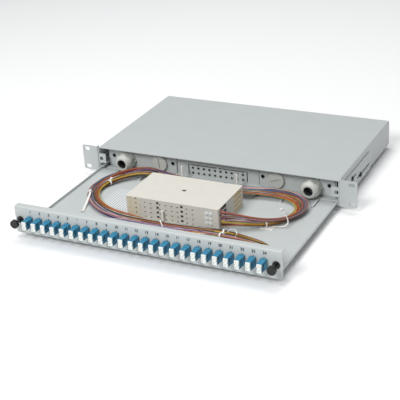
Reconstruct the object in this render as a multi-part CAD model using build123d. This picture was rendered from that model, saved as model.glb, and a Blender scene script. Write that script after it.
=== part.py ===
from build123d import *
import math
import os

# A slide-out fibre splice box for a 19 inch rack, one unit high.
# Millimetres. X runs to the right seen from the front, Y to the back, Z up.
# The origin lies under the front plane of the ears, midway, on the underside.
# The drawer is modelled pulled out, as it stands for splicing.

# Rack standard
RACK_WIDTH = 482.6
RACK_HOLE_SPAN = 465.1
RACK_HOLE_PITCH = 31.75
EAR_HEIGHT = 43.6
EAR_BOTTOM = 0.4
EAR_SHEET = 2.0
EAR_SLOT_LENGTH = 10.0
EAR_SLOT_WIDTH = 6.6

# Housing
BODY_WIDTH = 424.0
BODY_DEPTH = 258.0
BODY_HEIGHT = 42.2
COVER_SHEET = 1.2
COVER_BEND = 1.2
RETURN_FLANGE = 9.0
SIDE_WINDOW_LENGTH = 20.0
SIDE_WINDOW_HEIGHT = 7.0
SIDE_WINDOW_Z = 27.0
SIDE_HOLE_RADIUS = 4.5
SIDE_HOLE_Z = 15.5
SIDE_HOLE_SETBACK = 23.0
BASE_LIP = 1.0
GUIDE_LIP = 7.0

# Ear brackets
LEG_LENGTH = 150.0
LEG_HEIGHT = 30.6
LEG_STEP = 6.0
LEG_CORNER = 4.0
LEG_SLOT_WIDTH = 4.4
UPPER_SLOT_START = 54.0
UPPER_SLOT_LENGTH = 24.0
UPPER_SLOT_Z = 21.7
LOWER_SLOT_START = 82.0
LOWER_SLOT_LENGTH = 61.0
LOWER_SLOT_Z = 11.7
UPPER_SCREW_Y = 58.0
LOWER_SCREW_Y = 98.0
SCREW_RADIUS = 2.0
SCREW_HEAD_RADIUS = 3.9
SCREW_HEAD_HEIGHT = 1.8

# Drawer
DRAWER_SHEET = 1.5
DRAWER_BEND = 1.0
RUNNER_GAP = 0.4
TRAY_FLANGE = 6.0
TRAY_FRONT_FLANGE = 12.0
TRAY_HOLE_RADIUS = 1.6
TRAY_HOLE_INSET = 4.7
TRAY_HOLE_SETBACK = 22.0
TRAY_HOLE_REAR = -3.0
DRAWER_REACH = 239.0
PANEL_WIDTH = 433.0
PANEL_FLANGE = 11.0
WALL_WIDTH = 404.0
WALL_FRONT = 19.5
WALL_TOP = 40.5
WALL_FOOT = 10.0

# Knock-out field in the middle of the rear wall
KNOCKOUT_COLUMNS = 10
KNOCKOUT_PITCH = 9.9
KNOCKOUT_ROWS = (11.4, 20.2)
KNOCKOUT_RADIUS = 1.7
KNOCKOUT_SLOT = 1.2
KNOCKOUT_SLOT_TOP = 26.3
KNOCKOUT_SLOT_BOTTOM = 8.5
KNOCKOUT_BRIDGE = 4.0
KNOCKOUT_MARGIN = 2.5

# Gland plates, glands and blind plugs
PLATE_INNER = 73.8
PLATE_OUTER = 200.0
PLATE_BOTTOM = 6.0
PLATE_TOP = 40.0
PLATE_SCREW_INSET = 6.2
PLATE_SCREW_OUTSET = 9.0
PLATE_SCREW_Z = 24.0
PLATE_SCREW_RADIUS = 1.5
WINDOW_MARGIN = 1.0
GLAND_X = 164.5
GLAND_Z = 20.0
PLUG_X = 103.5
PLUG_Z = 21.5
GLAND_THREAD_RADIUS = 9.9
GLAND_HOLE_CLEARANCE = 0.3
GLAND_HEX = 24.0
GLAND_HEX_THICKNESS = 5.0
GLAND_THREAD_LENGTH = 10.0
LOCKNUT_THICKNESS = 4.5
SPIGOT_RADIUS = 9.0
SPIGOT_LENGTH = 13.0
CABLE_BORE_RADIUS = 6.5
SEAL_OUTER_RADIUS = 8.0
SEAL_INNER_RADIUS = 5.5
SEAL_LENGTH = 10.0
SEAL_PROUD = 2.4
NUT_LENGTH = 18.6
NUT_SHOULDER = 8.6
NUT_RADIUS = 13.2
NUT_NOSE_RADIUS = 8.7
NUT_GAP = 0.4
NUT_TURN = 30.0
NUT_BULGE_INSET = 1.4
NUT_BULGE_SHIFT = 0.8
PLUG_HEAD_RADIUS = 12.0
COIN_SLOT_WIDTH = 2.0
COIN_SLOT_DEPTH = 2.0
COIN_SLOT_LENGTH = 15.0
COIN_SLOT_TURNS = ((-1, 80.0), (1, -20.0))

# Quick latches in the panel and the tabs that they snap into
LATCH_X = 207.5
LATCH_Z = 22.3
GROMMET_RADIUS = 5.75
GROMMET_THICKNESS = 1.6
LEG_RADIUS = 3.1
LEG_REACH = 15.5
LEG_SPLIT = 1.0
LEG_ROOT = 1.0
PIN_RADIUS = 1.7
PIN_CLEARANCE = 0.2
KNOB_RADIUS = 6.2
KNOB_THICKNESS = 7.5
KNOB_EDGE = 1.5
PLUNGER_TRAVEL = 12.0
TAB_REACH = 13.0
TAB_BOTTOM = 14.5
TAB_TOP = 31.0
TAB_HOLE_RADIUS = 3.5

# Adapters and their caps
PORT_COUNT = 24
PORT_PITCH = 16.5
ADAPTER_Z = 22.3
ADAPTER_WIDTH = 8.0
ADAPTER_HEIGHT = 12.9
ADAPTER_FRONT = 17.0
ADAPTER_REAR = 14.0
ADAPTER_COLLAR = 5.0
ADAPTER_COLLAR_EDGE = 0.8
ADAPTER_ROUND = 1.2
PORT_SIZE = 5.2
PORT_SPACING = 6.25
PORT_DEPTH = 9.0
CUTOUT_CLEARANCE = 0.2
CAP_WIDTH = 7.0
CAP_HEIGHT = 12.9
CAP_DEPTH = 2.0
CAP_EDGE = 0.7
CAP_PLUG_DEPTH = 6.0
PORT_PLAY = 0.2
CONNECTOR_BODY = 13.0
CONNECTOR_BOOT = 17.0
BOOT_TIP = 1.8

# Splice cassettes
CASSETTE_LENGTH = 156.0
CASSETTE_DEPTH = 90.0
CASSETTE_PITCH = 7.8
CASSETTE_COUNT = 4
CASSETTE_X = -2.0
CASSETTE_BACK = -50.5
CASSETTE_WALL = 1.6
CASSETTE_FLOOR = 1.2
CASSETTE_CORNER = 2.5
CARRIER_THICKNESS = 2.1
LID_THICKNESS = 1.2
ENTRY_WIDTH = 20.0
ENTRY_CORNER = 8.0
ENTRY_SILL = 1.6
NOTCH_LENGTH = 6.0
NOTCH_DEPTH = 1.25
NOTCH_INSET = 26.0
GUIDE_RADIUS = 30.0
GUIDE_SPACING = 56.0
GUIDE_SHEET = 1.2
GUIDE_HEIGHT = 4.6
BOSS_RADIUS = 5.0
STACK_SCREW_RADIUS = 2.0
STACK_SCREW_CLEARANCE = 0.3
STACK_SCREW_SINK = 0.3
LID_HOLE_LENGTH = 8.0
LID_HOLE_WIDTH = 6.0
LATCH_HOLES = (-25.5, 15.2)
LATCH_HOLE_RADIUS = 1.5
SLEEVE_COUNT = 12
SLEEVE_LENGTH = 30.0
SLEEVE_WIDTH = 3.4
SLEEVE_HEIGHT = 1.6
COMB_RIB = 1.0
COMB_GAP = 3.6
COMB_HEIGHT = 4.0
COMB_LENGTH = 24.0
COMB_MARGIN = 1.0

# Small pieces on the tray
POST_RADIUS = 1.3
POST_FOOT_RADIUS = 4.0
POST_FOOT_THICKNESS = 1.2
POSTS = ((-15.5, -145.0, 23.5), (-53.0, -3.0, 31.5), (44.0, -3.0, 31.5))
LABEL_X = (-142.0, -86.0)
LABEL_Y = (-122.0, -58.0)
LABEL_THICKNESS = 0.2
LANCES = (
    (-177.0, -8.0, 0.0), (-125.0, -8.0, 0.0), (125.0, -8.0, 0.0), (177.0, -8.0, 0.0), (80.5, -8.0, -25.0),
)
LANCE_LENGTH = 28.0
LANCE_WIDTH = 5.5
LANCE_RISE = 1.6
LANCE_FOOT = 2.0
LANCE_SLIT = 1.0
TIE_BASE_X = 139.0
TIE_BASE_Y = -104.0
TIE_BASE_SIZE = 20.0
TIE_BASE_HEIGHT = 0.8
TIE_WIDTH = 2.6
TIE_THICKNESS = 1.0

# Fibre bundles and pigtail tails
BUNDLE_RADIUS = 3.0
TAIL_RADIUS = 0.9
TIE_CLEARANCE = 0.3
BEND_SHARE = 0.45

# The pigtails leave their boots straight, drop, and fan in beside the outer bundle.
TAIL_ENDS = (-80.0, 166.0)
TAIL_APART = 6.0
TAIL_END_Z = 8.5
TAIL_STRAIGHT = 8.0
TAIL_TURN = 5.5
TAIL_DROP = 5.0
TAIL_SAG = 1.0
LONG_TAIL = 50.0
LONG_TAIL_SHARES = (0.08, 0.28, 0.62)
SHORT_TAIL_SHARES = (0.08, 0.5)

LOWER_ROUTE = [
    (78.5, -133.0, 13.0), (100.0, -126.5, 12.0), (126.0, -114.0, 9.0), (147.0, -98.0, 7.6),
    (161.0, -75.0, 7.6), (164.5, -49.0, 7.5), (157.0, -30.0, 8.5), (141.5, -18.5, 9.5),
    (118.0, -14.5, 11.0), (92.0, -17.5, 12.0), (64.0, -23.5, 13.0), (28.0, -26.0, 13.0),
    (-15.0, -26.5, 13.0), (-56.0, -22.5, 13.0), (-88.0, -13.5, 12.5), (-115.0, -9.0, 12.0),
    (-138.0, -20.0, 11.0), (-156.0, -41.0, 9.5), (-166.0, -64.0, 8.0), (-165.0, -88.0, 7.6),
    (-152.5, -109.0, 7.6), (-131.0, -127.5, 7.6), (-104.0, -140.5, 7.6), (-72.0, -148.0, 7.6),
    (-38.0, -152.5, 7.6), (-2.0, -154.0, 7.6), (34.0, -151.0, 7.6), (70.0, -148.5, 7.6),
    (106.0, -150.0, 7.6), (140.0, -156.0, 7.6), (170.0, -166.0, 7.6),
]
UPPER_ROUTE = [
    (78.5, -134.5, 29.0), (101.0, -126.5, 25.0), (125.0, -116.0, 19.0), (148.0, -100.5, 14.0),
    (167.0, -78.5, 12.0), (174.5, -50.0, 12.0), (170.0, -28.0, 13.0), (154.5, -13.5, 15.0),
    (132.0, -6.5, 15.5), (107.0, -6.0, 15.5), (82.0, -11.0, 15.0), (55.0, -14.5, 14.5),
    (18.0, -14.0, 14.0), (-24.0, -13.5, 14.0), (-64.0, -9.5, 14.5), (-95.0, -1.0, 15.5),
    (-121.0, 3.5, 16.0), (-145.5, -8.5, 15.0), (-165.0, -30.5, 13.0), (-176.5, -56.0, 11.0),
    (-177.5, -84.0, 9.5), (-165.5, -111.0, 8.5), (-143.0, -134.0, 8.2), (-114.0, -151.0, 7.8),
    (-80.0, -160.5, 7.6), (-44.0, -165.5, 7.6), (-6.0, -166.5, 7.6), (32.0, -163.0, 7.6),
    (69.0, -160.0, 7.6), (106.0, -161.5, 7.6), (141.0, -167.5, 7.6), (172.0, -177.0, 7.6),
]

# Places worked out from the sizes above
EAR_TOP = EAR_BOTTOM + EAR_HEIGHT
EAR_MIDDLE = (EAR_BOTTOM + EAR_TOP) / 2
BODY_SIDE = BODY_WIDTH / 2
BODY_INSIDE = BODY_SIDE - COVER_SHEET
GUIDE_INSIDE = BODY_INSIDE - COVER_SHEET
TRAY_SIDE = GUIDE_INSIDE - RUNNER_GAP
TRAY_BOTTOM = COVER_SHEET + RUNNER_GAP
TRAY_TOP = TRAY_BOTTOM + DRAWER_SHEET
TRAY_FLANGE_TOP = TRAY_BOTTOM + TRAY_FLANGE
GUIDE_TOP = TRAY_FLANGE_TOP + RUNNER_GAP + COVER_SHEET
PANEL_BACK = -DRAWER_REACH + DRAWER_SHEET
PANEL_SIDE = PANEL_WIDTH / 2
WALL_BACK = WALL_FRONT + DRAWER_SHEET
PLATE_FRONT = WALL_FRONT - DRAWER_SHEET
GLAND_HOLE_RADIUS = GLAND_THREAD_RADIUS + GLAND_HOLE_CLEARANCE
HEX_FRONT = PLATE_FRONT - GLAND_HEX_THICKNESS
SPIGOT_FRONT = HEX_FRONT - SPIGOT_LENGTH
THREAD_BACK = PLATE_FRONT + GLAND_THREAD_LENGTH
ADAPTER_NOSE = -DRAWER_REACH - ADAPTER_FRONT
ADAPTER_TAIL = PANEL_BACK + ADAPTER_REAR
BOOT_END = ADAPTER_TAIL + CONNECTOR_BODY + CONNECTOR_BOOT
CARRIER_TOP = TRAY_TOP + CARRIER_THICKNESS
STACK_TOP = CARRIER_TOP + CASSETTE_COUNT * CASSETTE_PITCH
CASSETTE_FRONT = CASSETTE_BACK - CASSETTE_DEPTH
CASSETTE_MIDDLE = CASSETTE_BACK - CASSETTE_DEPTH / 2
CASSETTE_RIGHT = CASSETTE_X + CASSETTE_LENGTH / 2
PORTS = [(i - (PORT_COUNT - 1) / 2) * PORT_PITCH for i in range(PORT_COUNT)]
SIDES = (-1, 1)


def block(x, y, z):
    """A box between two limits along each of X, Y and Z."""
    spans = (x, y, z)
    middle = [(low + high) / 2 for low, high in spans]
    return Pos(*middle) * Box(*[abs(high - low) for low, high in spans])


def bar(x, z, radius, y_front, y_back):
    """A round bar along Y."""
    middle = Pos(x, (y_front + y_back) / 2, z)
    return middle * Rot(90, 0, 0) * Cylinder(radius, y_back - y_front)


def stud(x, y, radius, z_low, z_high):
    """A round bar along Z."""
    return Pos(x, y, (z_low + z_high) / 2) * Cylinder(radius, z_high - z_low)


def folded(plane, line, thickness, bend, length):
    """A sheet folded along a line through the middle of its thickness."""
    middle = FilletPolyline(*line, radius=bend + thickness / 2)
    return extrude(plane * trace(middle, thickness), length)


def plane_at_y(y):
    """Sketches lie in XZ and grow towards the front from here."""
    return Plane.XZ.offset(-y)


def mirrored(solid):
    """The same piece on the other side of the box."""
    return mirror(solid, Plane.YZ)


def both_sides(solid):
    """A piece and its mirror image."""
    return [solid, mirrored(solid)]


def group(solids):
    """Separate solids kept together in one node."""
    return Compound(children=[s.solid() for s in solids])


def hexagon(x, z, across, y_front, y_back, turn=0.0):
    """A hexagonal bar along Y."""
    outline = Pos(x, z) * Rot(0, 0, turn) * RegularPolygon(across / 2, 6, major_radius=False)
    return extrude(plane_at_y(y_back) * outline, y_back - y_front)


def top_cover():
    """Roof and both sides in one folded sheet, with the latch tabs at the front."""
    side = BODY_SIDE - COVER_SHEET / 2
    top = BODY_HEIGHT - COVER_SHEET / 2
    line = [(-side, 0), (-side, top), (side, top), (side, 0)]
    length = BODY_DEPTH - EAR_SHEET
    cover = folded(plane_at_y(BODY_DEPTH), line, COVER_SHEET, COVER_BEND, length)
    tab_y = (EAR_SHEET, EAR_SHEET + COVER_SHEET)
    tab = block((BODY_SIDE - TAB_REACH, BODY_INSIDE), tab_y, (TAB_BOTTOM, TAB_TOP))
    tab -= bar(LATCH_X, LATCH_Z, TAB_HOLE_RADIUS, 0, BODY_DEPTH)
    back_y = (BODY_DEPTH - COVER_SHEET, BODY_DEPTH)
    back_z = (GUIDE_TOP + RUNNER_GAP, BODY_HEIGHT - COVER_SHEET - COVER_BEND)
    back = block((BODY_SIDE - RETURN_FLANGE, BODY_INSIDE), back_y, back_z)
    for piece in both_sides(tab) + both_sides(back):
        cover += piece
    window_y = EAR_SHEET + SIDE_HOLE_SETBACK
    window = Pos(0, window_y, SIDE_WINDOW_Z) * Box(BODY_WIDTH, SIDE_WINDOW_LENGTH, SIDE_WINDOW_HEIGHT)
    cross = Pos(0, window_y, SIDE_HOLE_Z) * Rot(0, 90, 0) * Cylinder(SIDE_HOLE_RADIUS, BODY_WIDTH)
    cover -= window
    cover -= cross
    for y, z in bracket_screw_places():
        cover -= Pos(0, y, z) * Rot(0, 90, 0) * Cylinder(SCREW_RADIUS, BODY_WIDTH)
    return cover


def base_plate():
    """Floor of the housing, its edges folded into channels that the drawer runs in."""
    web = BODY_INSIDE - COVER_SHEET / 2
    low = COVER_SHEET / 2
    high = GUIDE_TOP - COVER_SHEET / 2
    tip = BODY_INSIDE - GUIDE_LIP
    line = [(-tip, high), (-web, high), (-web, low), (web, low), (web, high), (tip, high)]
    plate = folded(plane_at_y(BODY_DEPTH), line, COVER_SHEET, COVER_BEND / 2, BODY_DEPTH)
    return plate + block((-tip, tip), (-BASE_LIP, 0), (0, COVER_SHEET))


def bracket_screw_places():
    """Y and Z of the two screws that hold each bracket."""
    return [(UPPER_SCREW_Y, UPPER_SLOT_Z), (LOWER_SCREW_Y, LOWER_SLOT_Z)]


def leg_slot(start, length, z):
    """A long hole through the leg of the right-hand bracket."""
    outline = Pos(start + length / 2, z) * SlotOverall(length, LEG_SLOT_WIDTH)
    return extrude(Plane.YZ.offset(BODY_SIDE - EAR_SHEET) * outline, 3 * EAR_SHEET)


def ear_bracket():
    """Right-hand rack ear with the leg that lies along the side of the housing."""
    leg_x = BODY_SIDE + EAR_SHEET / 2
    line = [(RACK_WIDTH / 2, EAR_SHEET / 2), (leg_x, EAR_SHEET / 2), (leg_x, LEG_LENGTH)]
    ear = folded(Plane.XY.offset(EAR_BOTTOM), line, EAR_SHEET, EAR_SHEET / 4, EAR_HEIGHT)
    leg_outside = BODY_SIDE + EAR_SHEET
    ear -= block((BODY_SIDE, leg_outside), (LEG_STEP, LEG_LENGTH), (EAR_BOTTOM + LEG_HEIGHT, EAR_TOP))
    for z in (EAR_MIDDLE - RACK_HOLE_PITCH / 2, EAR_MIDDLE + RACK_HOLE_PITCH / 2):
        outline = Pos(RACK_HOLE_SPAN / 2, z) * SlotOverall(EAR_SLOT_LENGTH, EAR_SLOT_WIDTH)
        ear -= extrude(plane_at_y(EAR_SHEET) * outline, EAR_SHEET)
    ear -= leg_slot(UPPER_SLOT_START, UPPER_SLOT_LENGTH, UPPER_SLOT_Z)
    ear -= leg_slot(LOWER_SLOT_START, LOWER_SLOT_LENGTH, LOWER_SLOT_Z)
    ear = fillet(ear.edges().filter_by(Axis.Y).group_by(Axis.X)[-1], EAR_SHEET)
    return fillet(ear.edges().filter_by(Axis.X).group_by(Axis.Y)[-1], LEG_CORNER)


def bracket_screws():
    """Four pan-head screws through the bracket legs into the cover."""
    solids = []
    for y, z in bracket_screw_places():
        head_x = BODY_SIDE + EAR_SHEET
        head = Pos(head_x + SCREW_HEAD_HEIGHT / 2, y, z) * Rot(0, 90, 0)
        head *= Cylinder(SCREW_HEAD_RADIUS, SCREW_HEAD_HEIGHT)
        length = EAR_SHEET + COVER_SHEET
        shank = Pos(head_x - length / 2, y, z) * Rot(0, 90, 0) * Cylinder(SCREW_RADIUS, length)
        solids += both_sides(head + shank)
    return group(solids)


def drawer_tray():
    """Floor of the drawer with low side flanges that run in the channels."""
    side = TRAY_SIDE - DRAWER_SHEET / 2
    floor = TRAY_BOTTOM + DRAWER_SHEET / 2
    line = [(-side, TRAY_FLANGE_TOP), (-side, floor), (side, floor), (side, TRAY_FLANGE_TOP)]
    front = PANEL_BACK + DRAWER_SHEET
    tray = folded(plane_at_y(WALL_BACK), line, DRAWER_SHEET, DRAWER_BEND, WALL_BACK - front)
    inside = TRAY_SIDE - DRAWER_SHEET - DRAWER_BEND
    tray += block((-inside, inside), (PANEL_BACK, front), (TRAY_BOTTOM, TRAY_BOTTOM + TRAY_FRONT_FLANGE))
    for x, y in tray_holes():
        tray -= stud(x, y, TRAY_HOLE_RADIUS, 0, TRAY_TOP)
    for x, y, turn in LANCES:
        place = Pos(x, y, 0) * Rot(0, 0, turn)
        outline = place * SlotOverall(LANCE_LENGTH, LANCE_WIDTH, rotation=90)
        tray -= extrude(Plane.XY.offset(TRAY_BOTTOM) * outline, DRAWER_SHEET)
        opening = LANCE_LENGTH - 2 * LANCE_FOOT
        arch = Pos(0, 0, TRAY_TOP) * Box(LANCE_WIDTH - 2 * LANCE_SLIT, LANCE_LENGTH, 2 * LANCE_RISE)
        arch -= Pos(0, 0, TRAY_TOP) * Box(LANCE_WIDTH, opening, 2 * (LANCE_RISE - LANCE_SLIT))
        arch -= Pos(0, 0, TRAY_BOTTOM) * Box(LANCE_WIDTH, opening, 2 * DRAWER_SHEET)
        tray += place * arch
    return tray


def tray_holes():
    """X and Y of the small holes along the edges of the tray."""
    x = TRAY_SIDE - TRAY_HOLE_INSET
    return [(side * x, y) for side in SIDES for y in (PANEL_BACK + TRAY_HOLE_SETBACK, TRAY_HOLE_REAR)]


def front_panel():
    """Face of the drawer, folded back along its top, with the adapter cut-outs."""
    face = -DRAWER_REACH + DRAWER_SHEET / 2
    roof = EAR_TOP - DRAWER_SHEET / 2
    line = [(face, EAR_BOTTOM), (face, roof), (-DRAWER_REACH + PANEL_FLANGE, roof)]
    plane = Plane.YZ.offset(-PANEL_SIDE)
    panel = folded(plane, line, DRAWER_SHEET, DRAWER_BEND / 2, PANEL_WIDTH)
    width = ADAPTER_WIDTH + 2 * CUTOUT_CLEARANCE
    height = ADAPTER_HEIGHT + 2 * CUTOUT_CLEARANCE
    cutouts = [Pos(x, face, ADAPTER_Z) * Box(width, 2 * DRAWER_SHEET, height) for x in PORTS]
    panel -= cutouts
    hole = LEG_RADIUS + CUTOUT_CLEARANCE
    return panel - [bar(s * LATCH_X, LATCH_Z, hole, -DRAWER_REACH, PANEL_BACK) for s in SIDES]


def rear_wall():
    """Upright at the back of the drawer: two windows and a perforated knock-out field."""
    upright = WALL_FRONT + DRAWER_SHEET / 2
    floor = TRAY_TOP + DRAWER_SHEET / 2
    line = [(WALL_FRONT - WALL_FOOT, floor), (upright, floor), (upright, WALL_TOP)]
    plane = Plane.YZ.offset(-WALL_WIDTH / 2)
    wall = folded(plane, line, DRAWER_SHEET, DRAWER_BEND, WALL_WIDTH)
    through = (WALL_FRONT, WALL_BACK)
    margin = 2 * PLATE_SCREW_INSET
    window = block((PLATE_INNER + margin, PLATE_OUTER - margin), through, window_height())
    cuts = both_sides(window)
    cuts += [bar(x, z, KNOCKOUT_RADIUS, *through) for x in knockout_columns() for z in KNOCKOUT_ROWS]
    edge = KNOCKOUT_COLUMNS * KNOCKOUT_PITCH / 2 + KNOCKOUT_MARGIN
    slot_z = (KNOCKOUT_SLOT_TOP - KNOCKOUT_SLOT, KNOCKOUT_SLOT_TOP)
    top = block((KNOCKOUT_BRIDGE / 2, edge - KNOCKOUT_BRIDGE), through, slot_z)
    upright_x = (edge - KNOCKOUT_SLOT / 2, edge + KNOCKOUT_SLOT / 2)
    cuts += both_sides(top)
    cuts += both_sides(block(upright_x, through, (KNOCKOUT_SLOT_BOTTOM, KNOCKOUT_SLOT_TOP)))
    wall -= cuts
    screws = [bar(s * x, PLATE_SCREW_Z, PLATE_SCREW_RADIUS, *through) for s in SIDES for x in plate_screws()]
    return wall - screws


def window_height():
    """Lowest and highest Z of the windows behind the gland plates."""
    room = GLAND_HEX / 2 + WINDOW_MARGIN
    return (min(GLAND_Z, PLUG_Z) - room, max(GLAND_Z, PLUG_Z) + room)


def knockout_columns():
    """X of each column of small holes."""
    return [(i - (KNOCKOUT_COLUMNS - 1) / 2) * KNOCKOUT_PITCH for i in range(KNOCKOUT_COLUMNS)]


def plate_screws():
    """X of the two screws that hold the right-hand gland plate."""
    return (PLATE_INNER + PLATE_SCREW_INSET, PLATE_OUTER - PLATE_SCREW_OUTSET)


def gland_plate():
    """Right-hand plate with an open slot for the gland and a hole for the blind plug."""
    span = (PLATE_FRONT, WALL_FRONT)
    plate = block((PLATE_INNER, PLATE_OUTER), span, (PLATE_BOTTOM, PLATE_TOP))
    plate = fillet(plate.edges().filter_by(Axis.Y), DRAWER_SHEET)
    plate -= bar(GLAND_X, GLAND_Z, GLAND_HOLE_RADIUS, *span)
    slot_x = (GLAND_X - GLAND_HOLE_RADIUS, GLAND_X + GLAND_HOLE_RADIUS)
    plate -= block(slot_x, span, (GLAND_Z, PLATE_TOP))
    plate -= bar(PLUG_X, PLUG_Z, GLAND_HOLE_RADIUS, *span)
    return plate - [bar(x, PLATE_SCREW_Z, PLATE_SCREW_RADIUS, *span) for x in plate_screws()]


def gland_plate_screws():
    """Four small screws through the gland plates into the rear wall."""
    solids = []
    for x in plate_screws():
        head = bar(x, PLATE_SCREW_Z, 2 * PLATE_SCREW_RADIUS, PLATE_FRONT - SCREW_HEAD_HEIGHT, PLATE_FRONT)
        shank = bar(x, PLATE_SCREW_Z, PLATE_SCREW_RADIUS, PLATE_FRONT, WALL_BACK + DRAWER_SHEET)
        solids += both_sides(head + shank)
    return group(solids)


def gland_body():
    """Right-hand cable gland: hexagon, thread through the plate, spigot under the nut."""
    body = hexagon(GLAND_X, GLAND_Z, GLAND_HEX, HEX_FRONT, PLATE_FRONT)
    body += bar(GLAND_X, GLAND_Z, GLAND_THREAD_RADIUS, PLATE_FRONT, THREAD_BACK)
    body += bar(GLAND_X, GLAND_Z, SPIGOT_RADIUS, SPIGOT_FRONT, HEX_FRONT)
    body -= bar(GLAND_X, GLAND_Z, CABLE_BORE_RADIUS, SPIGOT_FRONT, THREAD_BACK)
    seat = SPIGOT_FRONT + SEAL_LENGTH - SEAL_PROUD
    return body - bar(GLAND_X, GLAND_Z, SEAL_OUTER_RADIUS, SPIGOT_FRONT, seat)


def gland_seals():
    """Rubber sleeves that the nuts squeeze onto the cables."""
    front = SPIGOT_FRONT - SEAL_PROUD
    seal = bar(GLAND_X, GLAND_Z, SEAL_OUTER_RADIUS, front, front + SEAL_LENGTH)
    seal -= bar(GLAND_X, GLAND_Z, SEAL_INNER_RADIUS, front, front + SEAL_LENGTH)
    return group(both_sides(seal))


def gland_nut():
    """Right-hand dome nut, hexagonal at the back and drawn in to a round nose."""
    back = HEX_FRONT - NUT_GAP
    nose = back - NUT_LENGTH
    shoulder = back - NUT_SHOULDER
    inner = SPIGOT_RADIUS + NUT_GAP
    lip = SPIGOT_FRONT - SEAL_PROUD - NUT_GAP
    bulge = (NUT_RADIUS - NUT_BULGE_INSET, (nose + shoulder) / 2 + NUT_BULGE_SHIFT)
    dome = ThreePointArc((NUT_RADIUS, shoulder), bulge, (NUT_NOSE_RADIUS, nose))
    rest = Polyline(
        (NUT_NOSE_RADIUS, nose), (CABLE_BORE_RADIUS, nose), (CABLE_BORE_RADIUS, lip),
        (inner, lip), (inner, back), (NUT_RADIUS, back), (NUT_RADIUS, shoulder),
    )
    nut = Pos(GLAND_X, 0, GLAND_Z) * revolve(make_face([dome, rest]), Axis.Y)
    return nut & hexagon(GLAND_X, GLAND_Z, GLAND_HEX, nose, back, NUT_TURN)


def locknuts():
    """Four thin nuts behind the gland plates, for the glands and the blind plugs."""
    back = WALL_FRONT + LOCKNUT_THICKNESS
    solids = []
    for x, z in ((GLAND_X, GLAND_Z), (PLUG_X, PLUG_Z)):
        nut = hexagon(x, z, GLAND_HEX, WALL_FRONT, back)
        nut -= bar(x, z, GLAND_THREAD_RADIUS, WALL_FRONT, back)
        solids += both_sides(nut)
    return group(solids)


def blind_plugs():
    """Two screw-in plugs with a coin slot in the head, each stopped at its own angle."""
    solids = []
    for side, turn in COIN_SLOT_TURNS:
        x = side * PLUG_X
        plug = bar(x, PLUG_Z, PLUG_HEAD_RADIUS, HEX_FRONT, PLATE_FRONT)
        rim = plug.edges().filter_by(GeomType.CIRCLE).group_by(Axis.Y)[0]
        plug = chamfer(rim, COIN_SLOT_DEPTH / 2)
        plug += bar(x, PLUG_Z, GLAND_THREAD_RADIUS, PLATE_FRONT, THREAD_BACK)
        slot = Box(COIN_SLOT_LENGTH, COIN_SLOT_DEPTH, COIN_SLOT_WIDTH)
        place = Pos(x, HEX_FRONT + COIN_SLOT_DEPTH / 2, PLUG_Z)
        solids.append(plug - place * Rot(0, turn, 0) * slot)
    return group(solids)


def latch_grommets():
    """Split sleeves snapped into the panel: the plunger spreads their legs."""
    face = -DRAWER_REACH
    tip = face + DRAWER_SHEET + LEG_REACH
    sleeve = bar(LATCH_X, LATCH_Z, GROMMET_RADIUS, face - GROMMET_THICKNESS, face)
    sleeve += bar(LATCH_X, LATCH_Z, LEG_RADIUS, face, tip)
    sleeve -= bar(LATCH_X, LATCH_Z, PIN_RADIUS + PIN_CLEARANCE, face - GROMMET_THICKNESS, tip)
    split_x = (LATCH_X - LEG_RADIUS, LATCH_X + LEG_RADIUS)
    split_z = (LATCH_Z - LEG_SPLIT / 2, LATCH_Z + LEG_SPLIT / 2)
    sleeve -= block(split_x, (PANEL_BACK + LEG_ROOT, tip), split_z)
    return group(both_sides(sleeve))


def latch_plunger():
    """Right-hand knob and pin, pulled out as when the drawer is free."""
    grommet_face = -DRAWER_REACH - GROMMET_THICKNESS
    head_back = grommet_face - PLUNGER_TRAVEL - PIN_CLEARANCE
    head = bar(LATCH_X, LATCH_Z, KNOB_RADIUS, head_back - KNOB_THICKNESS, head_back)
    head = fillet(head.edges().filter_by(GeomType.CIRCLE), KNOB_EDGE)
    tip = PANEL_BACK + LEG_REACH - PLUNGER_TRAVEL
    return head + bar(LATCH_X, LATCH_Z, PIN_RADIUS, head_back, tip)


def ports(x, y_front, y_back, size):
    """The two square ports of one adapter, or whatever of that size fills them."""
    half = size / 2
    span = (y_front, y_back)
    places = [ADAPTER_Z + side * PORT_SPACING / 2 for side in SIDES]
    return [block((x - half, x + half), span, (z - half, z + half)) for z in places]


def adapter(x):
    """Duplex adapter in the panel: long nose, collar against the face, two ports in line."""
    half = ADAPTER_WIDTH / 2
    tall = ADAPTER_HEIGHT / 2
    edge = ADAPTER_COLLAR_EDGE
    span = (ADAPTER_NOSE, ADAPTER_TAIL)
    body = block((x - half, x + half), span, (ADAPTER_Z - tall, ADAPTER_Z + tall))
    collar_y = (-DRAWER_REACH - ADAPTER_COLLAR, -DRAWER_REACH)
    collar_z = (ADAPTER_Z - tall - edge, ADAPTER_Z + tall + edge)
    collar = block((x - half - edge, x + half + edge), collar_y, collar_z)
    collar = chamfer(collar.edges().filter_by(Axis.Y), ADAPTER_ROUND)
    body += collar
    body -= ports(x, ADAPTER_NOSE, ADAPTER_NOSE + PORT_DEPTH, PORT_SIZE)
    return body - ports(x, ADAPTER_TAIL - PORT_DEPTH, ADAPTER_TAIL, PORT_SIZE)


def dust_cap(x):
    """Duplex cap: a block that covers the adapter's nose and two plugs in its ports."""
    half = CAP_WIDTH / 2
    tall = CAP_HEIGHT / 2
    span = (ADAPTER_NOSE - CAP_DEPTH, ADAPTER_NOSE)
    head = block((x - half, x + half), span, (ADAPTER_Z - tall, ADAPTER_Z + tall))
    head = chamfer(head.faces().sort_by(Axis.Y)[0].edges(), CAP_EDGE)
    plugs = ports(x, ADAPTER_NOSE, ADAPTER_NOSE + CAP_PLUG_DEPTH, PORT_SIZE - 2 * PORT_PLAY)
    return head + plugs[0] + plugs[1]


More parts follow.
